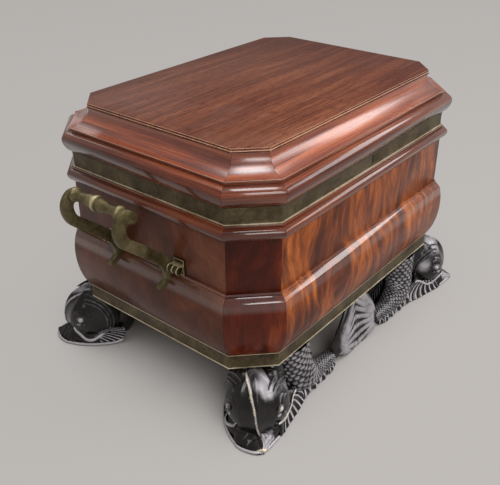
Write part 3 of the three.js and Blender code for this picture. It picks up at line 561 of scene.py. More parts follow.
# Brass bands
# Two strips of sheet brass, bent round the case and soldered at a corner: the frieze in its rebate
# under the lid, the base band over the foot of the walls. Old lacquer has gone olive. The raised
# lines at their edges are painted pale: partly rubbed bright, partly a painted highlight.
def old_brass(name, tones, shine, rough):
    """Brass gone dull: brown and olive patches, fine scratches, darker where hands never reach."""
    metal = Finish(name)
    patches = noise(on_object(metal, (22, 22, 22)), 7, rough=0.66, bend=0.3)
    spots = noise(on_object(metal, (140, 140, 140)), 4, rough=0.6)
    scratches = noise(on_object(metal, (90, 90, 1500)), 2)
    face = ramp(between(patches * 0.7 + spots * 0.3, 0.3, 0.7), *tones)
    return surface(
        metal,
        Base_Color=blend(face, "33261a", between(spots, 0.6, 0.75, 0.0, 0.5)),
        Metallic=between(patches, 0.35, 0.7, shine, shine * 0.75),
        Roughness=between(patches + scratches * 0.3, 0.35, 0.95, rough, rough + 0.2),
        Normal=bump(patches * 0.7 + scratches * 0.3 + spots * 0.3, 0.0004, 0.4),
    )


olive_tones = ((0.0, "3b3224"), (0.5, "574b36"), (1.0, "71644a"))
# The raised edge lines of the bands are painted pale: partly rubbed bright brass, partly a painted
# highlight.
edge_line_tones_rubbed_and_highlit = ((0.0, "c4b48c"), (0.5, "e4d8ba"), (1.0, "f4ecd8"))
band_finish = old_brass("olive_brass", olive_tones, 0.75, 0.36)
edge_line_finish_rubbed_and_highlit = old_brass("rubbed_and_highlit_brass", edge_line_tones_rubbed_and_highlit, 0.9, 0.26)


def joined(pieces):
    """Make one piece of several, in place of the first."""
    only(pieces[0])
    for piece in pieces:
        piece.select_set(True)
    bpy.ops.object.join()
    return bpy.context.object


def brass_band(name, outline, lines):
    """Bend a strip round the plan: eight lengths, sawn at the mitres and soldered into one."""
    band = joined([mitred_length(name, outline, side, gap=0, cap=False) for side in range(8)])
    edit(band)
    bpy.ops.mesh.remove_doubles(threshold=0.00002)
    face_outwards()
    band.name = name
    band.data.materials.append(band_finish)
    band.data.materials.append(edge_line_finish_rubbed_and_highlit)
    for face in band.data.polygons:
        if any(low - 0.0001 < face.center.z < high + 0.0001 for low, high in lines):
            face.material_index = 1
    return band


line = 0.0024
frieze_line, frieze_back = frieze_foot + line, -0.0034
frieze_outline = [
    (frieze_back, frieze_foot), (0.0008, frieze_foot), (0.0008, frieze_line), (-0.0008, frieze_line),
    (-0.0014, 0.443), (-0.0016, 0.45), (-0.0014, 0.457),
    (-0.0008, rim - line), (0, rim - line), (0, rim), (frieze_back, rim),
]
frieze = brass_band("bent_frieze_band", frieze_outline, [(frieze_foot, frieze_line), (rim - 0.001, rim)])
let_in_hinges(frieze, *leaf_room)
let_in(frieze, *key_slot)
bpy.ops.mesh.primitive_cylinder_add(
    vertices=24, radius=2 * key_half, depth=0.02, rotation=(math.pi / 2, 0, 0),
    location=(0, -half_depth, key_top),
)
cut_away(bpy.context.object, frieze, bpy.data.objects["faced_upper_wall_front"])
soften(frieze, 0.00035)
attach(frieze, "case")
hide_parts("frieze_band")

base_back, base_hollow, base_face = -0.0041, -0.0024, -0.0016
low_line, high_line = underside + line, band_top - line / 2
base_outline = [
    (base_back, underside), (base_face, underside), (base_face, low_line), (base_hollow, low_line),
    (base_hollow, high_line), (base_face, high_line), (base_face, band_top), (base_back, band_top),
]
base = brass_band("bent_base_band", base_outline, [(underside, low_line), (high_line, band_top)])
soften(base, 0.0003)
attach(base, "case")
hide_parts("base_band")


# Lock
# A steel box lock is let into the front wall behind the keyhole. Its bolt slides along the rim and
# catches the two loops of a plate in the lid.
steel = Finish("lock_steel")
film = noise(on_object(steel, (120, 120, 120)), 5, rough=0.6)
drawn = noise(on_object(steel, (60, 1500, 900)), 2)
steel_finish = surface(
    steel,
    Base_Color=ramp(film * 0.7 + drawn * 0.3, (0.3, "4c4a47"), (0.7, "8f8b84")),
    Metallic=0.95,
    Roughness=between(film, 0.3, 0.7, 0.3, 0.5),
    Normal=bump(drawn + film, 0.0002, 0.4),
)
wear(steel_finish, "lock_case", "lock_bolt", "lock_link_plate")


# Hinges
# Two solid brass butt hinges at the back, each leaf let into the wood, the case leaf holding the
# pin. They are cleaner than the bands because the closed lid covers them.
hinge_tones = ((0.0, "7d6636"), (0.5, "a58a4e"), (1.0, "c2a768"))
hinge_finish = old_brass("hinge_brass", hinge_tones, 0.95, 0.3)
wear(hinge_finish, *[f"hinge_{half}_leaf_{end}" for half in ("case", "lid") for end in ("left", "right")])


# Lid mouldings
# The lid's frame is eight lengths of a bold rounded moulding, with eight lengths of a deep cove on
# top, all mitred at the corners. Solid mahogany, French polished, the arrises painted pale: partly rubbed,
# partly a painted highlight.
lid_foot, torus_top, torus_back = 0.4664, 0.5064, -0.04
below_lid = lid_foot - 0.004
torus = rounded_nose(lid_foot, torus_top, 0.0155, 0.62, 1.5, 18)
torus_outline = [(torus_back, lid_foot), *torus, (torus_back, torus_top)]
cove_foot, cove_top, cove_back = 0.5067, 0.546, -0.052
fillet, fillet_out, cove_out, cove_depth = 0.0038, -0.0032, -0.0018, 0.0368
hollow_foot, neck = cove_foot + 0.0068, cove_top - 0.0045
cove_outline = [(cove_back, cove_foot), (fillet_out, cove_foot)]
cove_outline += [(fillet_out, cove_foot + fillet), (cove_out, cove_foot + fillet)]
for i in range(25):
    angle = math.pi / 2 * (1 - i / 24)
    inwards = abs(math.cos(angle)) ** (2 / 1.7)
    down = abs(math.sin(angle)) ** (2 / 1.7)
    cove_outline.append((cove_out - cove_depth * inwards, neck - (neck - hollow_foot) * down))
cove_outline += [(cove_out - cove_depth, cove_top), (cove_back, cove_top)]


def leave_mitres(piece, side):
    """Only the long arrises take the pale finish of rubbing and painted highlight: the edges at the mitres
    keep their polish.
    """
    for corner, _, saw in mitres(side):
        for face in piece.data.polygons:
            if abs((face.center - corner).dot(saw)) < 0.001:
                face.material_index = 0


# The cove takes a lighter copy of the moulding mahogany: its lighter tones are painted light, for the
# light that falls on the cove.
cove_tones = ((0.0, "562417"), (0.5, "803a20"), (1.0, "a8562d"))
cove_finish = moulding_wood("cove_mahogany", cove_tones, 6.0, 0.28, 1.82)
for side, name in enumerate(side_names):
    for kind, outline, finish, shift in (
        ("torus", torus_outline, moulding_finish, 0),
        ("cove", cove_outline, cove_finish, 0.6),
    ):
        length = mitred_length(f"run_{kind}_{name}", outline, side)
        if (kind, name) == ("torus", "back"):
            let_in_hinges(length, below_lid, lid_foot + 0.0023)
        if (kind, name) == ("torus", "front"):
            low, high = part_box("lock_link_plate")
            let_in(length, (low.x - fit, low.y - fit, below_lid), high + Vector((fit, fit, fit)))
        length.data.materials.append(finish)
        length.data.materials.append(rubbed_and_highlit_arris_finish)
        soften(length, 0.00045, slot=1)
        leave_mitres(length, side)
        lay_grain(length, side, shift)
        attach(length, "lid")
        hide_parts(f"lid_{kind}_{name}")


# Lid top and soffit
# One wide board of straight-grained mahogany, its edge worked with a small step, lies on the cove.
# A thin pine board closes the lid from below.
def board_finish():
    wood = Finish("top_mahogany")
    place = wood.add("TexCoord", out=3)
    across, deep = (wood.add("SeparateXYZ", {}, [place], out=way) for way in (0, 1))
    sway = noise(laid(place, (3, 7, 3)), 2) - 0.5
    bent = wood.add("CombineXYZ", {}, [across, deep + sway * 0.035, 0.0])
    stripes = noise(laid(bent, (1.6, 26, 1)), 4, rough=0.6)
    lines = noise(laid(bent, (5, 260, 1)), 3, rough=0.6)
    pores = noise(laid(bent, (45, 520, 1)), 2)
    blotches = noise(laid(place, (5, 8, 5)), 6, rough=0.65)
    tones = ((0.0, "4a241a"), (0.45, "633626"), (0.75, "70412d"), (1.0, "825036"))
    face = ramp(between(stripes * 0.5 + lines * 0.5, 0.34, 0.66), *tones)
    face = blend(face, "2c150e", between(pores, 0.52, 0.68, 0.0, 0.7))
    face = blend(face, "96786a", between(blotches, 0.45, 0.8, 0.0, 0.16))
    # Painted shade: the board is darkened steadily towards its right end, as if less light fell there.
    face = blend(face, "d8bdb0", between(across, -0.05, 0.34), "MULTIPLY")
    return surface(
        wood,
        Base_Color=face,
        Roughness=between(blotches + lines * 0.2, 0.35, 0.85, 0.34, 0.5),
        Specular_IOR_Level=0.12,
        Coat_Weight=0.04,
        Coat_Roughness=0.3,
        Normal=bump(lines * 0.6 + pores * 0.4, 0.0003, 0.35),
    )


top_foot, top_edge, edge_height, step_in, step_up = 0.5463, -0.0366, 0.0042, 0.001, 0.0045
board = flat_face("stepped_top_board", [corner + Vector((0, 0, top_foot)) for corner in plan(top_edge)])
draw_out((0, 0, edge_height))
bpy.ops.mesh.inset(thickness=step_in, use_even_offset=True)
draw_out((0, 0, step_up))
face_outwards()
board.data.materials.append(board_finish())
# The stepped edge's arrises are painted pale too: rubbing and a painted highlight.
board.data.materials.append(rubbed_and_highlit_arris_finish)
soften(board, 0.0006, slot=1)
lay_grain(board, 0, shift=0.3)
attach(board, "lid")
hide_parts("lid_top_board")
wear(pine_finish, "lid_soffit")


# Handles
# At each end two scroll arms, sawn from thick brass plate and filed round, carry a grip turned on
# the lathe. They swing on pins riveted into blocks on the end wall. Edges and rings are painted pale:
# partly rubbed bright, partly a painted highlight.
pivot = Vector((0.378, 0, 0.316))
arm_reach, arm_rise, arm_width = 0.1029, 0.138, 0.023
arm_inside, arm_thickness, arm_ease = 0.0625, 0.0095, 0.0009
pin_radius, rivet_radius, barrel_radius, ring_radius, ring_half = 0.003, 0.0055, 0.0072, 0.0081, 0.0014
block_near, block_far, ring_inset, ring_middle = 0.073, 0.099, 0.0016, 0.0132
plate_back, plate_face, plate_half, plate_rim, plate_hollow = 0.3625, 0.3665, 0.016, 0.002, 0.0012
saddle_half, bead_radius, bead_above, bead_inset = 0.0073, 0.0026, 0.0114, 0.0062
arm_spine = [
    (0.18, -0.262), (0.1, -0.238), (0.04, -0.197), (0.004, -0.138), (-0.004, -0.065), (0.02, 0.01),
    (0.1, 0.115), (0.25, 0.225), (0.52, 0.4), (0.77, 0.555), (0.9, 0.645), (0.965, 0.74),
    (0.985, 0.84), (0.95, 0.92), (0.87, 0.97), (0.78, 0.965), (0.69, 0.93),
]
arm_swell = [
    0.52, 0.56, 0.6, 0.68, 0.82, 0.96, 0.95, 0.95, 0.95, 0.92, 0.92, 0.95, 1, 1.02, 1.05, 1.05, 0.9,
]
grip_half, grip_radius = 0.0622, 0.013
grip_turning = [
    (1, 0), (1, 0.62), (0.99, 0.82), (0.965, 0.98), (0.93, 1.04), (0.89, 1.03), (0.855, 0.95),
    (0.835, 0.82), (0.83, 0.78), (0.815, 0.8), (0.8, 0.78), (0.79, 0.7), (0.74, 0.66), (0.66, 0.585),
    (0.6, 0.575), (0.52, 0.62), (0.42, 0.71), (0.32, 0.82), (0.24, 0.885), (0.17, 0.9), (0.12, 0.86),
    (0.1, 0.78), (0.095, 0.7), (0.07, 0.7), (0.065, 0.78), (0.06, 0.98), (0.045, 1.06), (0.02, 1.08),
    (0, 1.08),
]


def run_through(stations, share):
    """A smooth run through its stations: the place at a share of the way, its slope, and its chord."""
    at = share * (len(stations) - 1)
    i = np.clip(at.astype(int), 0, len(stations) - 2)
    f = (at - i)[:, None]
    p0, p1 = stations[np.maximum(i - 1, 0)], stations[i]
    p2, p3 = stations[i + 1], stations[np.minimum(i + 2, len(stations) - 1)]
    curl, sweep = 2 * p0 - 5 * p1 + 4 * p2 - p3, 3 * p1 - p0 - 3 * p2 + p3
    place = 0.5 * (2 * p1 + (p2 - p0) * f + curl * f**2 + sweep * f**3)
    slope = 0.5 * ((p2 - p0) + 2 * curl * f + 3 * sweep * f**2)
    return place, slope, (p2 - p0) * (1 - f) + (p3 - p1) * f


def round_end(middle, start):
    turns = [math.radians(-turn) for turn in range(15, 180, 15)]
    x, y = start - middle
    return [middle + (x * math.cos(a) - y * math.sin(a), x * math.sin(a) + y * math.cos(a)) for a in turns]


shares = np.linspace(0, 1, 65)
spine, course, _ = run_through(np.array(arm_spine) * (arm_reach, arm_rise), shares)
swell = run_through(np.array(arm_swell)[:, None] * arm_width / 2, shares)[0]
course /= np.linalg.norm(course, axis=1)[:, None]
across = np.stack([-course[:, 1], course[:, 0]], axis=-1) * swell
arm_outline = [*(spine + across), *round_end(spine[-1], (spine + across)[-1])]
arm_outline += [*(spine - across)[::-1], *round_end(spine[0], (spine - across)[0])]

handle_tones = ((0.0, "4f4730"), (0.5, "695f42"), (1.0, "877c5a"))
handle_finish = old_brass("handle_brass", handle_tones, 0.85, 0.36)
# The pivot blocks take a darker copy of the handle brass: painted shade.
block_tones = ((0.0, "241d13"), (0.5, "3a3020"), (1.0, "544730"))
block_finish = old_brass("dark_brass", block_tones, 0.8, 0.34)
# The arms' edges, the rings' crowns, the plates' rims and the grip's middle ring are painted pale: partly
# rubbed bright, partly a painted highlight.
handle_edge_tones_worn_and_highlit = ((0.0, "94875f"), (0.5, "b8ab84"), (1.0, "d2c8a6"))
handle_edge_finish_worn_and_highlit = old_brass("worn_and_highlit_brass", handle_edge_tones_worn_and_highlit, 0.85, 0.3)


def brass_handle_piece(name, end, node, body, finish, wear_and_sheen):
    """Finish a fitting made at the right end, and carry it over to its own end."""
    piece = bpy.context.object
    piece.name = name
    piece.data.name = name
    piece.data.materials.append(finish)
    piece.data.materials.append(handle_edge_finish_worn_and_highlit)
    for face in piece.data.polygons:
        face.material_index = 1 if wear_and_sheen(face.center) else 0
    if end == "left":
        piece.data.transform(Matrix.Diagonal((-1, 1, 1, 1)))
        piece.data.flip_normals()
    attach(piece, body)
    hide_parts(node)


def barrel(radius, start, end):
    """A round bar across the handle, on the pivot."""
    bpy.ops.mesh.primitive_cylinder_add(
        vertices=32, radius=radius, depth=abs(end - start), rotation=(math.pi / 2, 0, 0),
        location=(pivot.x, (start + end) / 2, pivot.z),
    )
    bpy.ops.object.transform_apply()
    return bpy.context.object


def sawn_arm(side):
    arm = flat_face("arm", [pivot + Vector((u, side * arm_inside, w)) for u, w in arm_outline])
    draw_out((0, side * arm_thickness, 0))
    face_outwards()
    cut_away(barrel(pin_radius + fit, side * 0.05, side * 0.09), arm)
    soften(arm, arm_ease, angle=50)


def on_arm_arris(at):
    out = abs(at.y) - arm_inside
    return 0.00005 < min(abs(out), abs(out - arm_thickness)) < arm_ease - 0.00005


def block_places(side):
    """Both ends of a pivot block, and the middles of the three rings on its barrel."""
    y0, y1 = sorted((side * block_near, side * block_far))
    return y0, y1, (y0 + ring_inset, y0 + ring_middle, y1 - ring_inset)


def pivot_block(side):
    """A plate with four beads on its face, a ringed barrel on a saddle, and the riveted pin."""
    y0, y1, rings = block_places(side)
    plate = block((plate_back, y0, pivot.z - plate_half), (plate_face, y1, pivot.z + plate_half))
    edit(plate)
    bpy.ops.mesh.select_all(action="DESELECT")
    done()
    for face in plate.data.polygons:
        face.select = face.normal.x > 0.9
    bpy.ops.object.mode_set(mode="EDIT")
    bpy.ops.mesh.inset(thickness=plate_rim)
    draw_out((-plate_hollow, 0, 0))
    done()
    soften(plate, 0.0004)
    low, high = pivot.z - saddle_half, pivot.z + saddle_half
    saddle = block((plate_back, y0 + 0.0008, low), (pivot.x, y1 - 0.0008, high))
    soften(saddle, 0.0006)
    pieces = [plate, saddle, barrel(barrel_radius, y0 + 0.0004, y1 - 0.0004)]
    soften(pieces[-1], 0.0006)
    for ring in rings:
        pieces.append(barrel(ring_radius, ring - ring_half, ring + ring_half))
        soften(pieces[-1], 0.0007)
    pieces.append(barrel(pin_radius, side * 0.0614, side * 0.0742))
    pieces.append(barrel(rivet_radius, side * 0.0602, side * 0.0622))
    soften(pieces[-1], 0.0009, segments=3)
    for height in (pivot.z - bead_above, pivot.z + bead_above):
        for across in (y0 + bead_inset, y1 - bead_inset):
            bpy.ops.mesh.primitive_uv_sphere_add(
                segments=20, ring_count=12, radius=bead_radius, location=(plate_face - fit, across, height)
            )
            bpy.ops.object.transform_apply()
            bpy.ops.object.shade_smooth()
            pieces.append(bpy.context.object)
    joined(pieces)


def on_block_edges(at):
    """The crowns of the rings, and the raised rim of the plate."""
    y0, y1, rings = block_places(math.copysign(1, at.y))
    crown = math.hypot(at.x - pivot.x, at.z - pivot.z) > ring_radius - 0.0005 and at.x > 0.368
    on_ring = min(abs(at.y - ring) for ring in rings) < ring_half + 0.0001
    on_face = plate_face - 0.001 < at.x < plate_face + 0.0002
    from_edge = min(plate_half - abs(at.z - pivot.z), at.y - y0, y1 - at.y)
    return (on_ring and crown) or (on_face and from_edge < plate_rim + 0.0001)


def turned_grip():
    turning = grip_turning + [(-share, radius) for share, radius in grip_turning[-2::-1]]
    bpy.ops.mesh.primitive_circle_add(vertices=len(turning), radius=0.01)
    grip = bpy.context.object
    grip_axis = pivot + Vector((arm_reach - 0.015, 0, arm_rise + 0.002))
    for vertex, (share, radius) in zip(grip.data.vertices, turning):
        vertex.co = grip_axis + Vector((0, share * grip_half, radius * grip_radius))
    edit(grip)
    bpy.ops.mesh.spin(steps=48, angle=2 * math.pi, center=grip_axis, axis=(0, 1, 0))
    bpy.ops.mesh.select_all(action="SELECT")
    bpy.ops.mesh.remove_doubles(threshold=0.00005)
    face_outwards()
    bpy.ops.object.shade_smooth_by_angle(angle=math.radians(40))


def on_middle_ring(at):
    return abs(at.y) < 0.045 * grip_half


for end in ("left", "right"):
    swinging = f"handle_{end}"
    for row, side in (("front", -1), ("back", 1)):
        sawn_arm(side)
        name, node = f"filed_arm_{end}_{row}", f"handle_{end}_arm_{row}"
        brass_handle_piece(name, end, node, swinging, handle_finish, on_arm_arris)
        pivot_block(side)
        name, node = f"pivot_block_{end}_{row}", f"handle_{end}_post_{row}"
        brass_handle_piece(name, end, node, "case", block_finish, on_block_edges)
    turned_grip()
    name, node = f"turned_grip_{end}", f"handle_{end}_grip"
    brass_handle_piece(name, end, node, swinging, handle_finish, on_middle_ring)


# Feet
# Four dolphins carved in beech or pine, ebonised and partly gilt: head outwards on the corner, scaly
# body under the long side, tail fan standing up to the case. High places are painted grey: wear and a
# painted highlight.
# One is carved here and its fellows mirror it.
corner_left, corner_right = plan(-0.0024)[1:3]
foot_corner = (corner_left + corner_right) / 2 * 1000
foot_top = underside * 1000 - 0.3
foot_front, foot_middle = -303, 0.3
foot_parts = []


def on_head(s, t, z):
    """Places by the head: s outwards along the corner, t across towards the end, z up, in mm."""
    half = math.sqrt(0.5)
    return np.stack([foot_corner.x + half * (s + t), foot_corner.y + half * (t - s), z + 0 * s], axis=-1)


def carved(name, rows, columns, shape, thick=0):
    """Stretch a fine grid over a form. shape(u, v) gives places in mm, how grey each is painted for wear
    and painted highlight, and how gilt.
    """
    bpy.ops.mesh.primitive_grid_add(x_subdivisions=rows, y_subdivisions=columns, size=2)
    piece = bpy.context.object
    piece.name = name
    flat = np.empty(len(piece.data.vertices) * 3)
    piece.data.vertices.foreach_get("co", flat)
    u, v = flat.reshape(-1, 3)[:, :2].T / 2 + 0.5
    places, ridge, gilt = shape(u, v)
    places = np.clip(places, (foot_middle, foot_front, 0), (500, 0, foot_top))
    piece.data.vertices.foreach_set("co", (places / 1000).ravel())
    for key, values in (("ridge", ridge), ("gilt", gilt)):
        layer = piece.data.attributes.new(key, "FLOAT", "POINT")
        layer.data.foreach_set("value", np.clip(values + 0 * u, 0, 1))
    piece.data.update()
    edit(piece)
    bpy.ops.mesh.remove_doubles(threshold=0.00005)
    if not thick:
        bpy.ops.mesh.select_all(action="SELECT")
        bpy.ops.mesh.fill_holes(sides=0)
    face_outwards()
    if thick:
        backing = piece.modifiers.new("backing", "SOLIDIFY")
        backing.thickness, backing.offset = thick / 1000, -1
        bpy.ops.object.modifier_apply(modifier="backing")
        for vertex in piece.data.vertices:
            x, y, z = vertex.co
            vertex.co = (max(x, foot_middle / 1000), max(y, foot_front / 1000), max(z, 0))
    bpy.ops.object.shade_smooth()
    foot_parts.append(piece)


def hump(distance, width):
    """A rounded rise about a line, 1 high."""
    return np.exp(-((distance / width) ** 2))


def step(value, low, high):
    """Ease from 0 to 1 while a value goes from low to high."""
    share = np.clip((value - low) / (high - low), 0, 1)
    return share * share * (3 - 2 * share)


def globe(u, v):
    """The ways out from one middle over a whole ball, with the turn and the rise of each."""
    turn, rise = 2 * np.pi * u, np.pi * (v - 0.5)
    ways = np.stack([np.cos(rise) * np.cos(turn), np.cos(rise) * np.sin(turn), np.sin(rise)], axis=-1)
    return ways, turn, rise


def ray_to_ellipsoid(ways, start, middle, radii):
    """How far along each ray the far side of an ellipsoid lies."""
    d, o = ways / radii, (start - np.array(middle)) / np.array(radii)
    a, b, c = (d * d).sum(1), (d * o).sum(1), (o * o).sum() - 1
    return (-b + np.sqrt(np.maximum(b * b - a * c, 0))) / a


# Sides of the head are -1 towards the long side and 1 towards the end. An eye has its s and z, and
# a form has its middle and its three radii.
eyes = {-1: (35, 69), 1: (34, 68)}
skull_form = ((12, 0, 52), (66, 50, 77))
jaw_form = ((13, 0, 8), (63, 57, 24))
cheek_forms = {-1: ((21, -30, 57), (37, 38, 42)), 1: ((15, 20, 61), (42, 37, 43))}


def keel_place(z):
    """The keel leans: it starts on the end side at the top and comes down on the other."""
    return np.interp(z, [0, 20, 45, 80, 105, 128], [-7, -4, 2, 6, 11, 17])


def collar_forms(side):
    """Three collars behind each cheek, one inside the next like the rings of an onion."""
    (s, t, z), (long, wide, high) = cheek_forms[side]
    for back, up, longer, higher in ((8, 2, 2.5, 4.5), (15.5, 5, 4.5, 10), (23, 8, 7, 17)):
        yield (s - back, t, z + up), (long + longer, wide - back * 0.16, high + higher)


def out_at(s, z, side):
    """How far out to one side the head's surface lies at a place on it."""
    reach = [20.0]
    for middle, radii in (skull_form, jaw_form, cheek_forms[side], *collar_forms(side)):
        left = 1 - ((s - middle[0]) / radii[0]) ** 2 - ((z - middle[2]) / radii[2]) ** 2
        if left > 0:
            reach.append(side * middle[1] + radii[1] * math.sqrt(left))
    return side * max(reach)


def painted_dome_sheen(s, t, z):
    """Painted highlight: the domes of the cheeks are painted grey where a soft sheen of light would lie.
    """
    spots = (
        ((38, -20, 100), 24, 1.0), ((15, -42, 92), 18, 0.7),
        ((24, 38, 95), 11, 0.7), ((2, -64, 74), 21, 0.9),
    )
    grey = 0
    for (at_s, at_t, at_z), width, strength in spots:
        grey += strength * hump(np.hypot(np.hypot(s - at_s, t - at_t), z - at_z), width)
    return grey


def head_shape(u, v):
    """Skull, keel, the two domed cheeks and the jaw, swelling out from one middle."""
    ways, turn, rise = globe(u, v)
    start = np.array([12, 0, 28])
    skull = ray_to_ellipsoid(ways, start, *skull_form)
    ahead = np.stack([np.cos(rise), 0 * rise, np.sin(rise)], axis=-1)
    ridge_reach = ray_to_ellipsoid(ahead, start, *skull_form)
    swing = np.abs(np.arctan2(np.sin(turn), np.cos(turn)))
    lean = math.radians(28)
    wedge = ridge_reach * math.cos(lean) / np.cos(np.minimum(swing, 1.5) - lean)
    front = step(np.cos(turn), 0, 0.3)
    skull = skull * (1 - front) + np.minimum(skull, wedge) * front
    forms = [skull, ray_to_ellipsoid(ways, start, *jaw_form)]
    forms += [ray_to_ellipsoid(ways, start, *cheek_forms[side]) for side in (-1, 1)]
    soft = 7
    reach = soft * np.log(sum(np.exp(form / soft) for form in forms)) - soft * 0.3
    place = start + ways * reach[:, None]
    s, t, z = place.T
    side_on = step(np.abs(t), 16, 30)
    ridge, lift = 0 * s, 0 * s
    for side, (eye_s, eye_z) in eyes.items():
        here = side_on * (t * side > 0)
        lift -= 2.0 * hump(np.hypot(s - eye_s, z - eye_z), 9) * here
        for ring, strength in ((15.5, 1.3), (20, 0.8)):
            arch = hump(np.hypot(s - eye_s + 2, z - eye_z + 1) - ring, 1.5) * step(z - eye_z, -2, 9) * here
            lift += strength * arch
            ridge += arch * 0.5
    keel_at = t - keel_place(z)
    along_keel = step(s, -2, 12) * step(z, 12, 30)
    keel_line = hump(keel_at, 2.8) * along_keel
    ragged = 0.72 + 0.18 * np.sin(z * 0.63) * np.sin(z * 0.29 + 1) + 0.1 * np.sin(z * 1.27 + 2)
    lift += 3.6 * keel_line * ragged
    place = place + ways * lift[:, None]
    gilt = hump(keel_at + 0.7 * np.sin(z * 0.31), (3.2 + 2.4 * step(z, 50, 120)) * ragged) * along_keel
    # A painted highlight: a grey patch on the top of the head beside the keel.
    ridge = ridge + keel_line + 0.6 * step(z, 100, 120) * step(-t, -17, -9)
    return on_head(*place.T), ridge + painted_dome_sheen(s, t, z), gilt


carved("head", 176, 120, head_shape)


def beak_shape(u, v):
    """The beak: a low arch that narrows to its tip, with creases and a nostril on each side."""
    s = 44 + 54 * u
    height = 7.5 + 30 * (1 - u) ** 1.05 + 1.5 * hump(u - 0.96, 0.06)
    stations = [0, 0.3, 0.48, 0.66, 0.81, 0.94, 1]
    to_end = np.interp(u, stations, [44, 46, 41, 32, 22, 11, 3])
    to_side = np.interp(u, stations, [46, 40, 32, 23, 16, 11, 7])
    angle = np.pi * v
    t = np.where(np.cos(angle) > 0, to_end, to_side) * np.cos(angle)
    z = height * np.sin(angle) ** 0.8 * (1 + 0.12 * hump(np.cos(angle), 0.12))
    nostril = hump(u - 0.56, 0.06) * hump(np.abs(np.cos(angle)) - 0.5, 0.1)
    crease = sum(hump(u - at - 0.12 * np.cos(2 * angle), 0.03) for at in (0.5, 0.68))
    z = z * (1 - 0.14 * nostril - 0.06 * crease)
    t = t + keel_place(0) * np.sin(angle) * step(u, 0.1, 0.8)
    wear_and_sheen = step(u, 0.2, 0.5) * step(np.sin(angle), 0.05, 0.5)
    # The beak's top is grey where it is worn; on the long side it is painted far paler, with gilt flecks:
    # a painted highlight.
    long_side = step(-np.cos(angle), -0.1, 0.16)
    streaks = 0.6 + 0.4 * np.sin(23 * u + 5 * np.cos(angle)) * np.sin(17 * angle)
    ridge = wear_and_sheen * (0.12 + 0.85 * long_side * (0.5 + 0.5 * streaks))
    gilt = 0.9 * step(u, 0.84, 0.93) + wear_and_sheen * 0.3 * long_side * step(u, 0.6, 0.9)
    return on_head(s - 2 * crease, t, z), ridge, gilt


carved("beak", 40, 40, beak_shape)
body_stations = np.array([  # x from the corner, height, girth, depth
    [-106, 135.7, 40, 24], [-108, 110, 40, 26], [-112, 79.4, 40, 27.5], [-119, 52, 39, 28.5],
    [-138, 29, 34, 27], [-170, 17.5, 22, 23], [-204, 15.5, 17, 19], [-238, 17, 13, 15],
])
scales_round = 14


def scale_relief(row, column):
    """Overlapping scales, each lying on the next one towards the tail."""
    height = 0 * row
    covered = np.zeros_like(row, dtype=bool)
    longest = 1.75
    for back in (2, 1, 0):
        index = np.floor(row) - back
        middle = np.floor(column - 0.5 * (index % 2)) + 0.5 + 0.5 * (index % 2)
        across = np.clip(np.abs(column - middle) / 0.56, 0, 1)
        down = row - index
        here = (down < longest * np.sqrt(1 - across**2.4)) & ~covered
        swell = (0.25 + 0.75 * down / longest) * (1 - 0.25 * across**2)
        height = np.where(here, swell, height)
        covered |= here
    return height


def body_shape(u, v):
    """The body: it comes down from the case, bends and thins out along the floor, scaly all over."""
    centre, along, _ = run_through(body_stations, u)
    angle = 2 * np.pi * v
    along = along[:, :2] / np.linalg.norm(along[:, :2], axis=1)[:, None]
    ladder = np.linspace(0, 1, 400)
    fine, fine_slope, _ = run_through(body_stations, ladder)
    pace = np.hypot(fine_slope[:, 0], fine_slope[:, 1]) * (len(body_stations) - 1) / 400
    width = 2 * np.pi * (fine[:, 2] * 0.5 + fine[:, 3] * 0.5) / scales_round
    rows = np.interp(u, ladder, np.cumsum(pace / (0.56 * width)))
    relief = scale_relief(rows + 4, v * scales_round + 40)
    lift = relief * np.clip(np.interp(u, ladder, width) * 0.25, 1.2, 3.6) - 2
    girth, depth = centre[:, 2] + lift, centre[:, 3] + lift
    x = foot_corner.x + centre[:, 0] + along[:, 1] * girth * np.cos(angle)
    z = centre[:, 1] - along[:, 0] * girth * np.cos(angle)
    y = foot_corner.y - 21 + 7 * (1 - step(u, 0.2, 0.6)) + depth * np.sin(angle)
    return np.stack([x, y, z], axis=-1), 0.1 + 0.7 * step(relief, 0.3, 0.85), 0


carved("body", 160, 120, body_shape)
fan_edge = np.array([  # x, y from the hub, height
    [39, -1.4, -2.6], [0.5, 0, -2.6], [0.5, 3.6, 25.6], [0.5, 9, 53.8],
    [0.5, 13.5, 84.5], [0.5, 16.2, 115], [6, 15.3, 138], [17, 7.2, 138],
])
fan_ribs = 9


def bow(start, pull, end, along):
    """A bent line from its start to its end, drawn aside by a third place."""
    return start * (1 - along) ** 2 + pull * 2 * along * (1 - along) + end * along**2


def waves(v, count):
    return 0.5 - 0.5 * np.cos(2 * np.pi * count * v)


def fan_shape(u, v):
    """The tail fan: ribs that spread from a hub at the end of the body to a scalloped edge."""
    hub = np.array([0.28 * foot_corner.x - 6, foot_corner.y - 18, 22])
    end = run_through(fan_edge, v)[0]
    end[:, 1] += hub[1]
    pull = (hub + end) / 2
    pull[:, 2] += 26 * (1 - v**2)
    pull[:, 1] -= 13
    place = bow(hub, pull, end, (0.02 + 0.98 * u)[:, None])
    rib = waves(v, fan_ribs) ** 0.8
    scallop = 1 - 0.06 * (1 - rib) * step(u, 0.6, 1)
    place = hub + (place - hub) * scallop[:, None]
    place[:, 1] -= 5.2 * rib * (0.25 + 0.75 * step(u, 0, 0.45)) + 2 * hump(u - 0.96, 0.05) * rib
    place[:, 2] += (1 - u) * (v - 0.5) * 22
    return place, 0.1 + 0.75 * step(rib, 0.8, 1.0) * step(u, 0.05, 0.3), 0


carved("tail", 44, 99, fan_shape, thick=13)


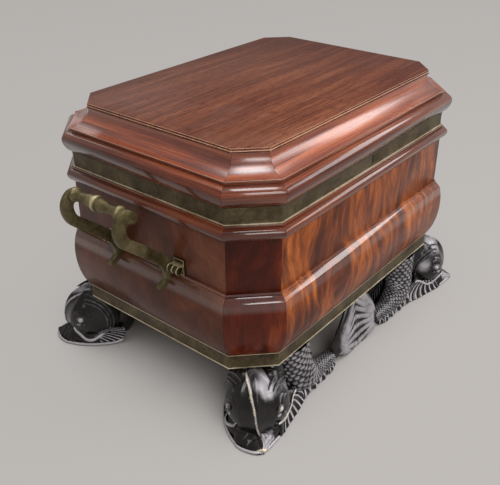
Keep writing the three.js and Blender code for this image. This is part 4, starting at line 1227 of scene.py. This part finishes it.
def swept(points, width, thickness, ridge=1.0, gilt=0.0, taper=0.35):
    """A flattened bar bent along a run of places by the head."""
    run = np.array(points, float)

    def shape(u, v):
        centre, _, along = run_through(run, u)
        along /= np.linalg.norm(along, axis=1)[:, None] + 1e-9
        out = np.stack([0 * u, np.sign(centre[:, 1]), 0.45 + 0 * u], axis=-1)
        out -= along * (out * along).sum(1)[:, None]
        out /= np.linalg.norm(out, axis=1)[:, None]
        over = np.cross(along, out)
        from_middle = np.abs(2 * u - 1)
        fat = (1 - taper * from_middle**2.5) * np.sqrt(np.clip(1 - from_middle**12, 0, 1))
        angle = 2 * np.pi * v
        place = centre + out * (thickness * fat * np.cos(angle))[:, None]
        place += over * (width * fat * np.sin(angle))[:, None]
        # The outer face is painted grey and gilt: wear and gilding, with a painted highlight.
        outer = step(np.cos(angle), 0, 0.8)
        return on_head(*place.T), ridge * outer, gilt * outer

    return shape


# Lips, fins and rims run through places by the head.
long_lip = [
    (61, -40, 38), (56, -44, 36), (48, -48, 31), (40, -52, 26), (32, -56, 22), (24, -60, 20.5),
    (16, -65, 23), (8, -70, 28), (0, -74, 34), (-8, -77, 40), (-16, -82, 45), (-25, -87, 45),
]
end_lip = [(54, 42), (48, 31), (40, 22), (27, 16), (12, 15), (-4, 20), (-18, 28), (-29, 39)]
end_lip = [(at, out_at(at, up, 1) + 0.5, up) for at, up in end_lip]
low_lip = [
    (56, -44, 3.5), (67, -34, 3.8), (78, -24, 4), (87, -15, 4), (93, -8, 4),
    (96, 0, 4), (93, 13, 4), (85, 27, 4), (75, 38, 3.8), (62, 45, 3.5),
]
carved("lip_long", 90, 16, swept(long_lip, 3.0, 2.8, gilt=0.82, taper=0.2))
carved("lip_end", 90, 16, swept(end_lip, 4.0, 3.8, gilt=0.62))
carved("lip_low", 80, 14, swept(low_lip, 3.2, 3.4, gilt=0.5, taper=0.1))


def gum_shape(u, v):
    """The gum: a skirt under the cheek that runs out to the lip of the long side."""
    edge = run_through(np.array(long_lip, float), v)[0]
    root = np.stack([edge[:, 0] * 0.8 + 4, edge[:, 1] * 0.4, edge[:, 2] + 10], axis=-1)
    place = root * (1 - u[:, None]) + edge * u[:, None]
    place[:, 2] += 2 * np.sin(np.pi * u)
    return on_head(*place.T), 0, 0


carved("gum", 14, 60, gum_shape, thick=9)


def fin_shape(root, edge, ribs, lift, side, curl):
    """A ribbed fin, spread from its root under the head to its edge on the floor."""
    root, edge = np.array(root, float), np.array(edge, float)

    def shape(u, v):
        end = run_through(edge, v)[0]
        hub = root[0] * (1 - v)[:, None] + root[1] * v[:, None]
        pull = hub * 0.45 + end * 0.55
        pull[:, 2] += lift
        pull[:, 0] += curl * (1 - v)
        place = bow(hub, pull, end, u[:, None])
        rib = waves(v, ribs) ** 0.8 * step(v, 0, 0.08) * step(1 - v, 0, 0.08)
        rise = 3.4 * rib * (0.3 + 0.7 * step(u, 0, 0.4))
        place[:, 2] += rise * 0.8
        place[:, 1] += side * rise * 0.6
        return on_head(*place.T), step(rib, 0.55, 1.0), 0.3 * step(rib, 0.7, 1.0) * step(u, 0.6, 1.0)

    return shape


long_root, end_root = [(-25, -86, 42), (44, -48, 24)], [(42, 44, 5), (-22, 48, 38)]
long_edge = [
    (-44, -108, 3), (-38, -106, 0), (-22, -98, 0), (-4, -87, 0),
    (14, -75, 0), (32, -63, 0), (48, -53, 0), (56, -46, 0),
]
end_edge = [
    (52, 46, 0), (34, 52, 0), (8, 55, 0), (-20, 55, 0),
    (-44, 52, 4), (-57, 48, 14), (-59, 46, 26), (-54, 45, 36),
]
carved("fin_long", 40, 90, fin_shape(long_root, long_edge, 8, -2, -1, -20), thick=9)
carved("fin_end", 32, 98, fin_shape(end_root, end_edge, 14, 4, 1, 0), thick=7)
end_rim = [
    (74, 37, 3.5), (62, 44, 3.5), (46, 50, 3.8), (30, 54, 4),
    (8, 57, 4), (-20, 56.5, 4), (-42, 53.5, 5), (-55, 49, 9),
]
carved("rim_end", 90, 14, swept(end_rim, 3.4, 3.6, gilt=0.36, taper=0.3))

for side, first in ((-1, 62), (1, 78)):
    (s, t, z), _ = cheek_forms[side]
    turns = np.radians(np.linspace(first, 205, 22))
    for reach in (41, 48, 55.5):
        ring = [(s + reach * 0.95 * math.cos(a), z + reach * 1.05 * math.sin(a)) for a in turns]
        outs = np.array([out_at(at, up, side) for at, up in ring])
        outs = np.convolve(np.pad(outs, 3, mode="edge"), np.ones(7) / 7, mode="valid")
        ring = [(at, out, up) for (at, up), out in zip(ring, outs)]
        carved("ring", 64, 10, swept(ring, 2.6, 2.6, ridge=0.55, gilt=0.1))


def crest_shape(u, v):
    """The fin of the back: it stands up behind the body, its ribs towards the long side."""
    wave = waves(v, 9)
    top = np.interp(v, [0, 0.2, 0.75, 1], [71, 64, 39, 24]) * (1 - 0.07 * (1 - wave))
    x = foot_corner.x - 108 - 107 * v - 12 * u * (1 - v)
    y = foot_corner.y + 13 - 3.5 * wave * step(u, 0, 0.4)
    return np.stack([x, y, 3 + (top - 3) * u], axis=-1), step(wave, 0.6, 1) * step(u, 0.1, 0.4) * 0.7, 0


carved("crest", 20, 80, crest_shape, thick=8)


def turned_on_head(name, middle, radii, ridge, gilt=0.0, fine=1):
    """A ball, bead or collar, set by the head. One with no grey of its own takes the cheeks' painted
    highlight.
    """

    def shape(u, v):
        place = (middle + globe(u, v)[0] * radii).T
        return on_head(*place), ridge or painted_dome_sheen(*place), gilt

    carved(name, 24 * fine, 14 * fine, shape)


def rolled_lid(name, middle, radius, tube, flat):
    """A rolled edge round the eye, in a plane that faces sideways."""
    s, t, z = middle

    def shape(u, v):
        turn, angle = 2 * np.pi * u, 2 * np.pi * v
        reach = radius + tube * np.cos(angle)
        long, high = reach * np.cos(turn) * 1.15, reach * np.sin(turn) * 0.9
        return on_head(s + long, t + flat * np.sin(angle), z + high), 0.6, 0

    carved(name, 40, 12, shape)


turned_on_head("neck", (-26, -35, 78), (35, 28, 66), 0.0, fine=2)
turned_on_head("nape", (-46, 2, 52), (38, 34, 56), 0.0, fine=2)
for side in (-1, 1):
    for middle, radii in collar_forms(side):
        turned_on_head("collar", middle, radii, 0.0, fine=2)
for side, (s, z) in eyes.items():
    t = out_at(s, z, side)
    # Painted glint: the eyeballs are painted pale and gilt, partly gilding, and the lids and bags pale
    # grey, partly wear and partly a painted highlight.
    turned_on_head("eye", (s, t - side * 1.5, z), (6.0, 5.2, 6.0), 1.0, 0.8 if side < 0 else 0.6)
    rolled_lid("eye_lid", (s, t - side * 1.8, z), 7.0, 1.9, 2.6)
    turned_on_head("eye_bag", (s + 5, out_at(s + 5, z - 12, side), z - 12), (5.2, 3.0, 3.2), 0.8, 0.2)
    turned_on_head("eye_corner", (s - 7, out_at(s - 7, z - 11, side), z - 11), (3.2, 2.2, 2.6), 0.6)
    for part in foot_parts[-4:]:
        layer = part.data.attributes.new("long_eye", "FLOAT", "POINT")
        layer.data.foreach_set("value", [1.0 if side < 0 else 0.0] * len(part.data.vertices))


def water_shape(x, z, size, k):
    """One of the curled waves that the tail rests on."""

    def shape(u, v):
        ways, turn, rise = globe(u, v)
        curl = 1 + 0.2 * np.sin(5 * turn + k) * np.cos(rise)
        ways = ways * np.stack([curl, 0.8 * curl, 0.9 + 0 * curl], axis=-1)
        middle = (foot_corner.x + x, foot_corner.y - 34 - (k % 2) * 4, z)
        return middle + size * ways, step(np.sin(5 * turn + k), 0, 1), 0

    return shape


waves_under_tail = [
    (-96, 9, 15), (-114, 8, 14), (-131, 8, 14), (-147, 7, 12), (-162, 7, 13),
    (-178, 6, 11), (-193, 7, 12), (-208, 6, 10), (-222, 6, 10),
]
for k, (x, z, size) in enumerate(waves_under_tail):
    carved("water", 30, 16, water_shape(x, z, size, k))

first_foot = joined(foot_parts)

black = Finish("ebonised_wood")
grey_wear_and_highlight_layer, gilding = (black.add("Attribute", {"attribute_name": layer}, out=2) for layer in ("ridge", "gilt"))
mottle = noise(on_object(black, (60, 60, 60)), 7, rough=0.7)
gouges = noise(on_object(black, (300, 300, 45)), 4, rough=0.6)
flecks = noise(on_object(black, (330, 330, 330)), 3, rough=0.6)
black_face = ramp(between(mottle, 0.3, 0.7), (0.0, "070505"), (0.6, "0f0b0a"), (1.0, "1d1615"))
# Grey on high places: partly worn black, partly a painted highlight on crests, rings, lips and scales, and
# a painted sheen on the cheeks' domes.
black_face = blend(black_face, "c2bec4", between(grey_wear_and_highlight_layer * 0.7 + mottle * 0.5, 0.55, 1.03, 0.0, 0.9))
black_face = blend(black_face, "dacdb2", between(gilding * 0.5 + flecks * 0.8, 0.75, 0.9))
black_finish = surface(
    black,
    Base_Color=black_face,
    Roughness=between(mottle + gilding * 0.4, 0.3, 0.9, 0.28, 0.5),
    Specular_IOR_Level=0.1,
    Coat_Weight=0.5,
    Coat_Roughness=0.22,
    Coat_IOR=1.7,
    Normal=bump(mottle * 0.5 + gouges * 0.5 + flecks * 0.15, 0.001, 0.4),
)
first_foot.data.materials.append(black_finish)

feet = {}
for row, across in (("front", 1), ("back", -1)):
    for end, along in (("right", 1), ("left", -1)):
        foot = first_foot
        if (along, across) != (1, 1):
            foot = first_foot.copy()
            foot.data = first_foot.data.copy()
            bpy.context.collection.objects.link(foot)
            foot.data.transform(Matrix.Diagonal((along, across, 1, 1)))
            if along * across < 0:
                foot.data.flip_normals()
        foot.name = f"carved_dolphin_{row}_{end}"
        foot.data.name = foot.name
        feet[row, end] = foot

# The near foot's long-side eye was cut further round its cheek, and it keeps its full gilt: the other
# three carry 0.62 of it.
near_foot = feet["front", "left"]
cheek_middle = Vector(on_head(*cheek_forms[-1][0])) / 1000
cheek_middle.x *= -1
turn = Matrix.Rotation(math.radians(-41), 4, "Z")
further_round = Matrix.Translation(cheek_middle) @ turn @ Matrix.Translation(-cheek_middle)
for vertex, eye in zip(near_foot.data.vertices, near_foot.data.attributes["long_eye"].data):
    if eye.value > 0.5:
        vertex.co = further_round @ vertex.co
        vertex.co.y = max(vertex.co.y, foot_front / 1000)
for (row, end), foot in feet.items():
    if foot is not near_foot:
        for place in foot.data.attributes["gilt"].data:
            place.value *= 0.62
    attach(foot, "case")
    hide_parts(f"dolphin_{row}_{end}")
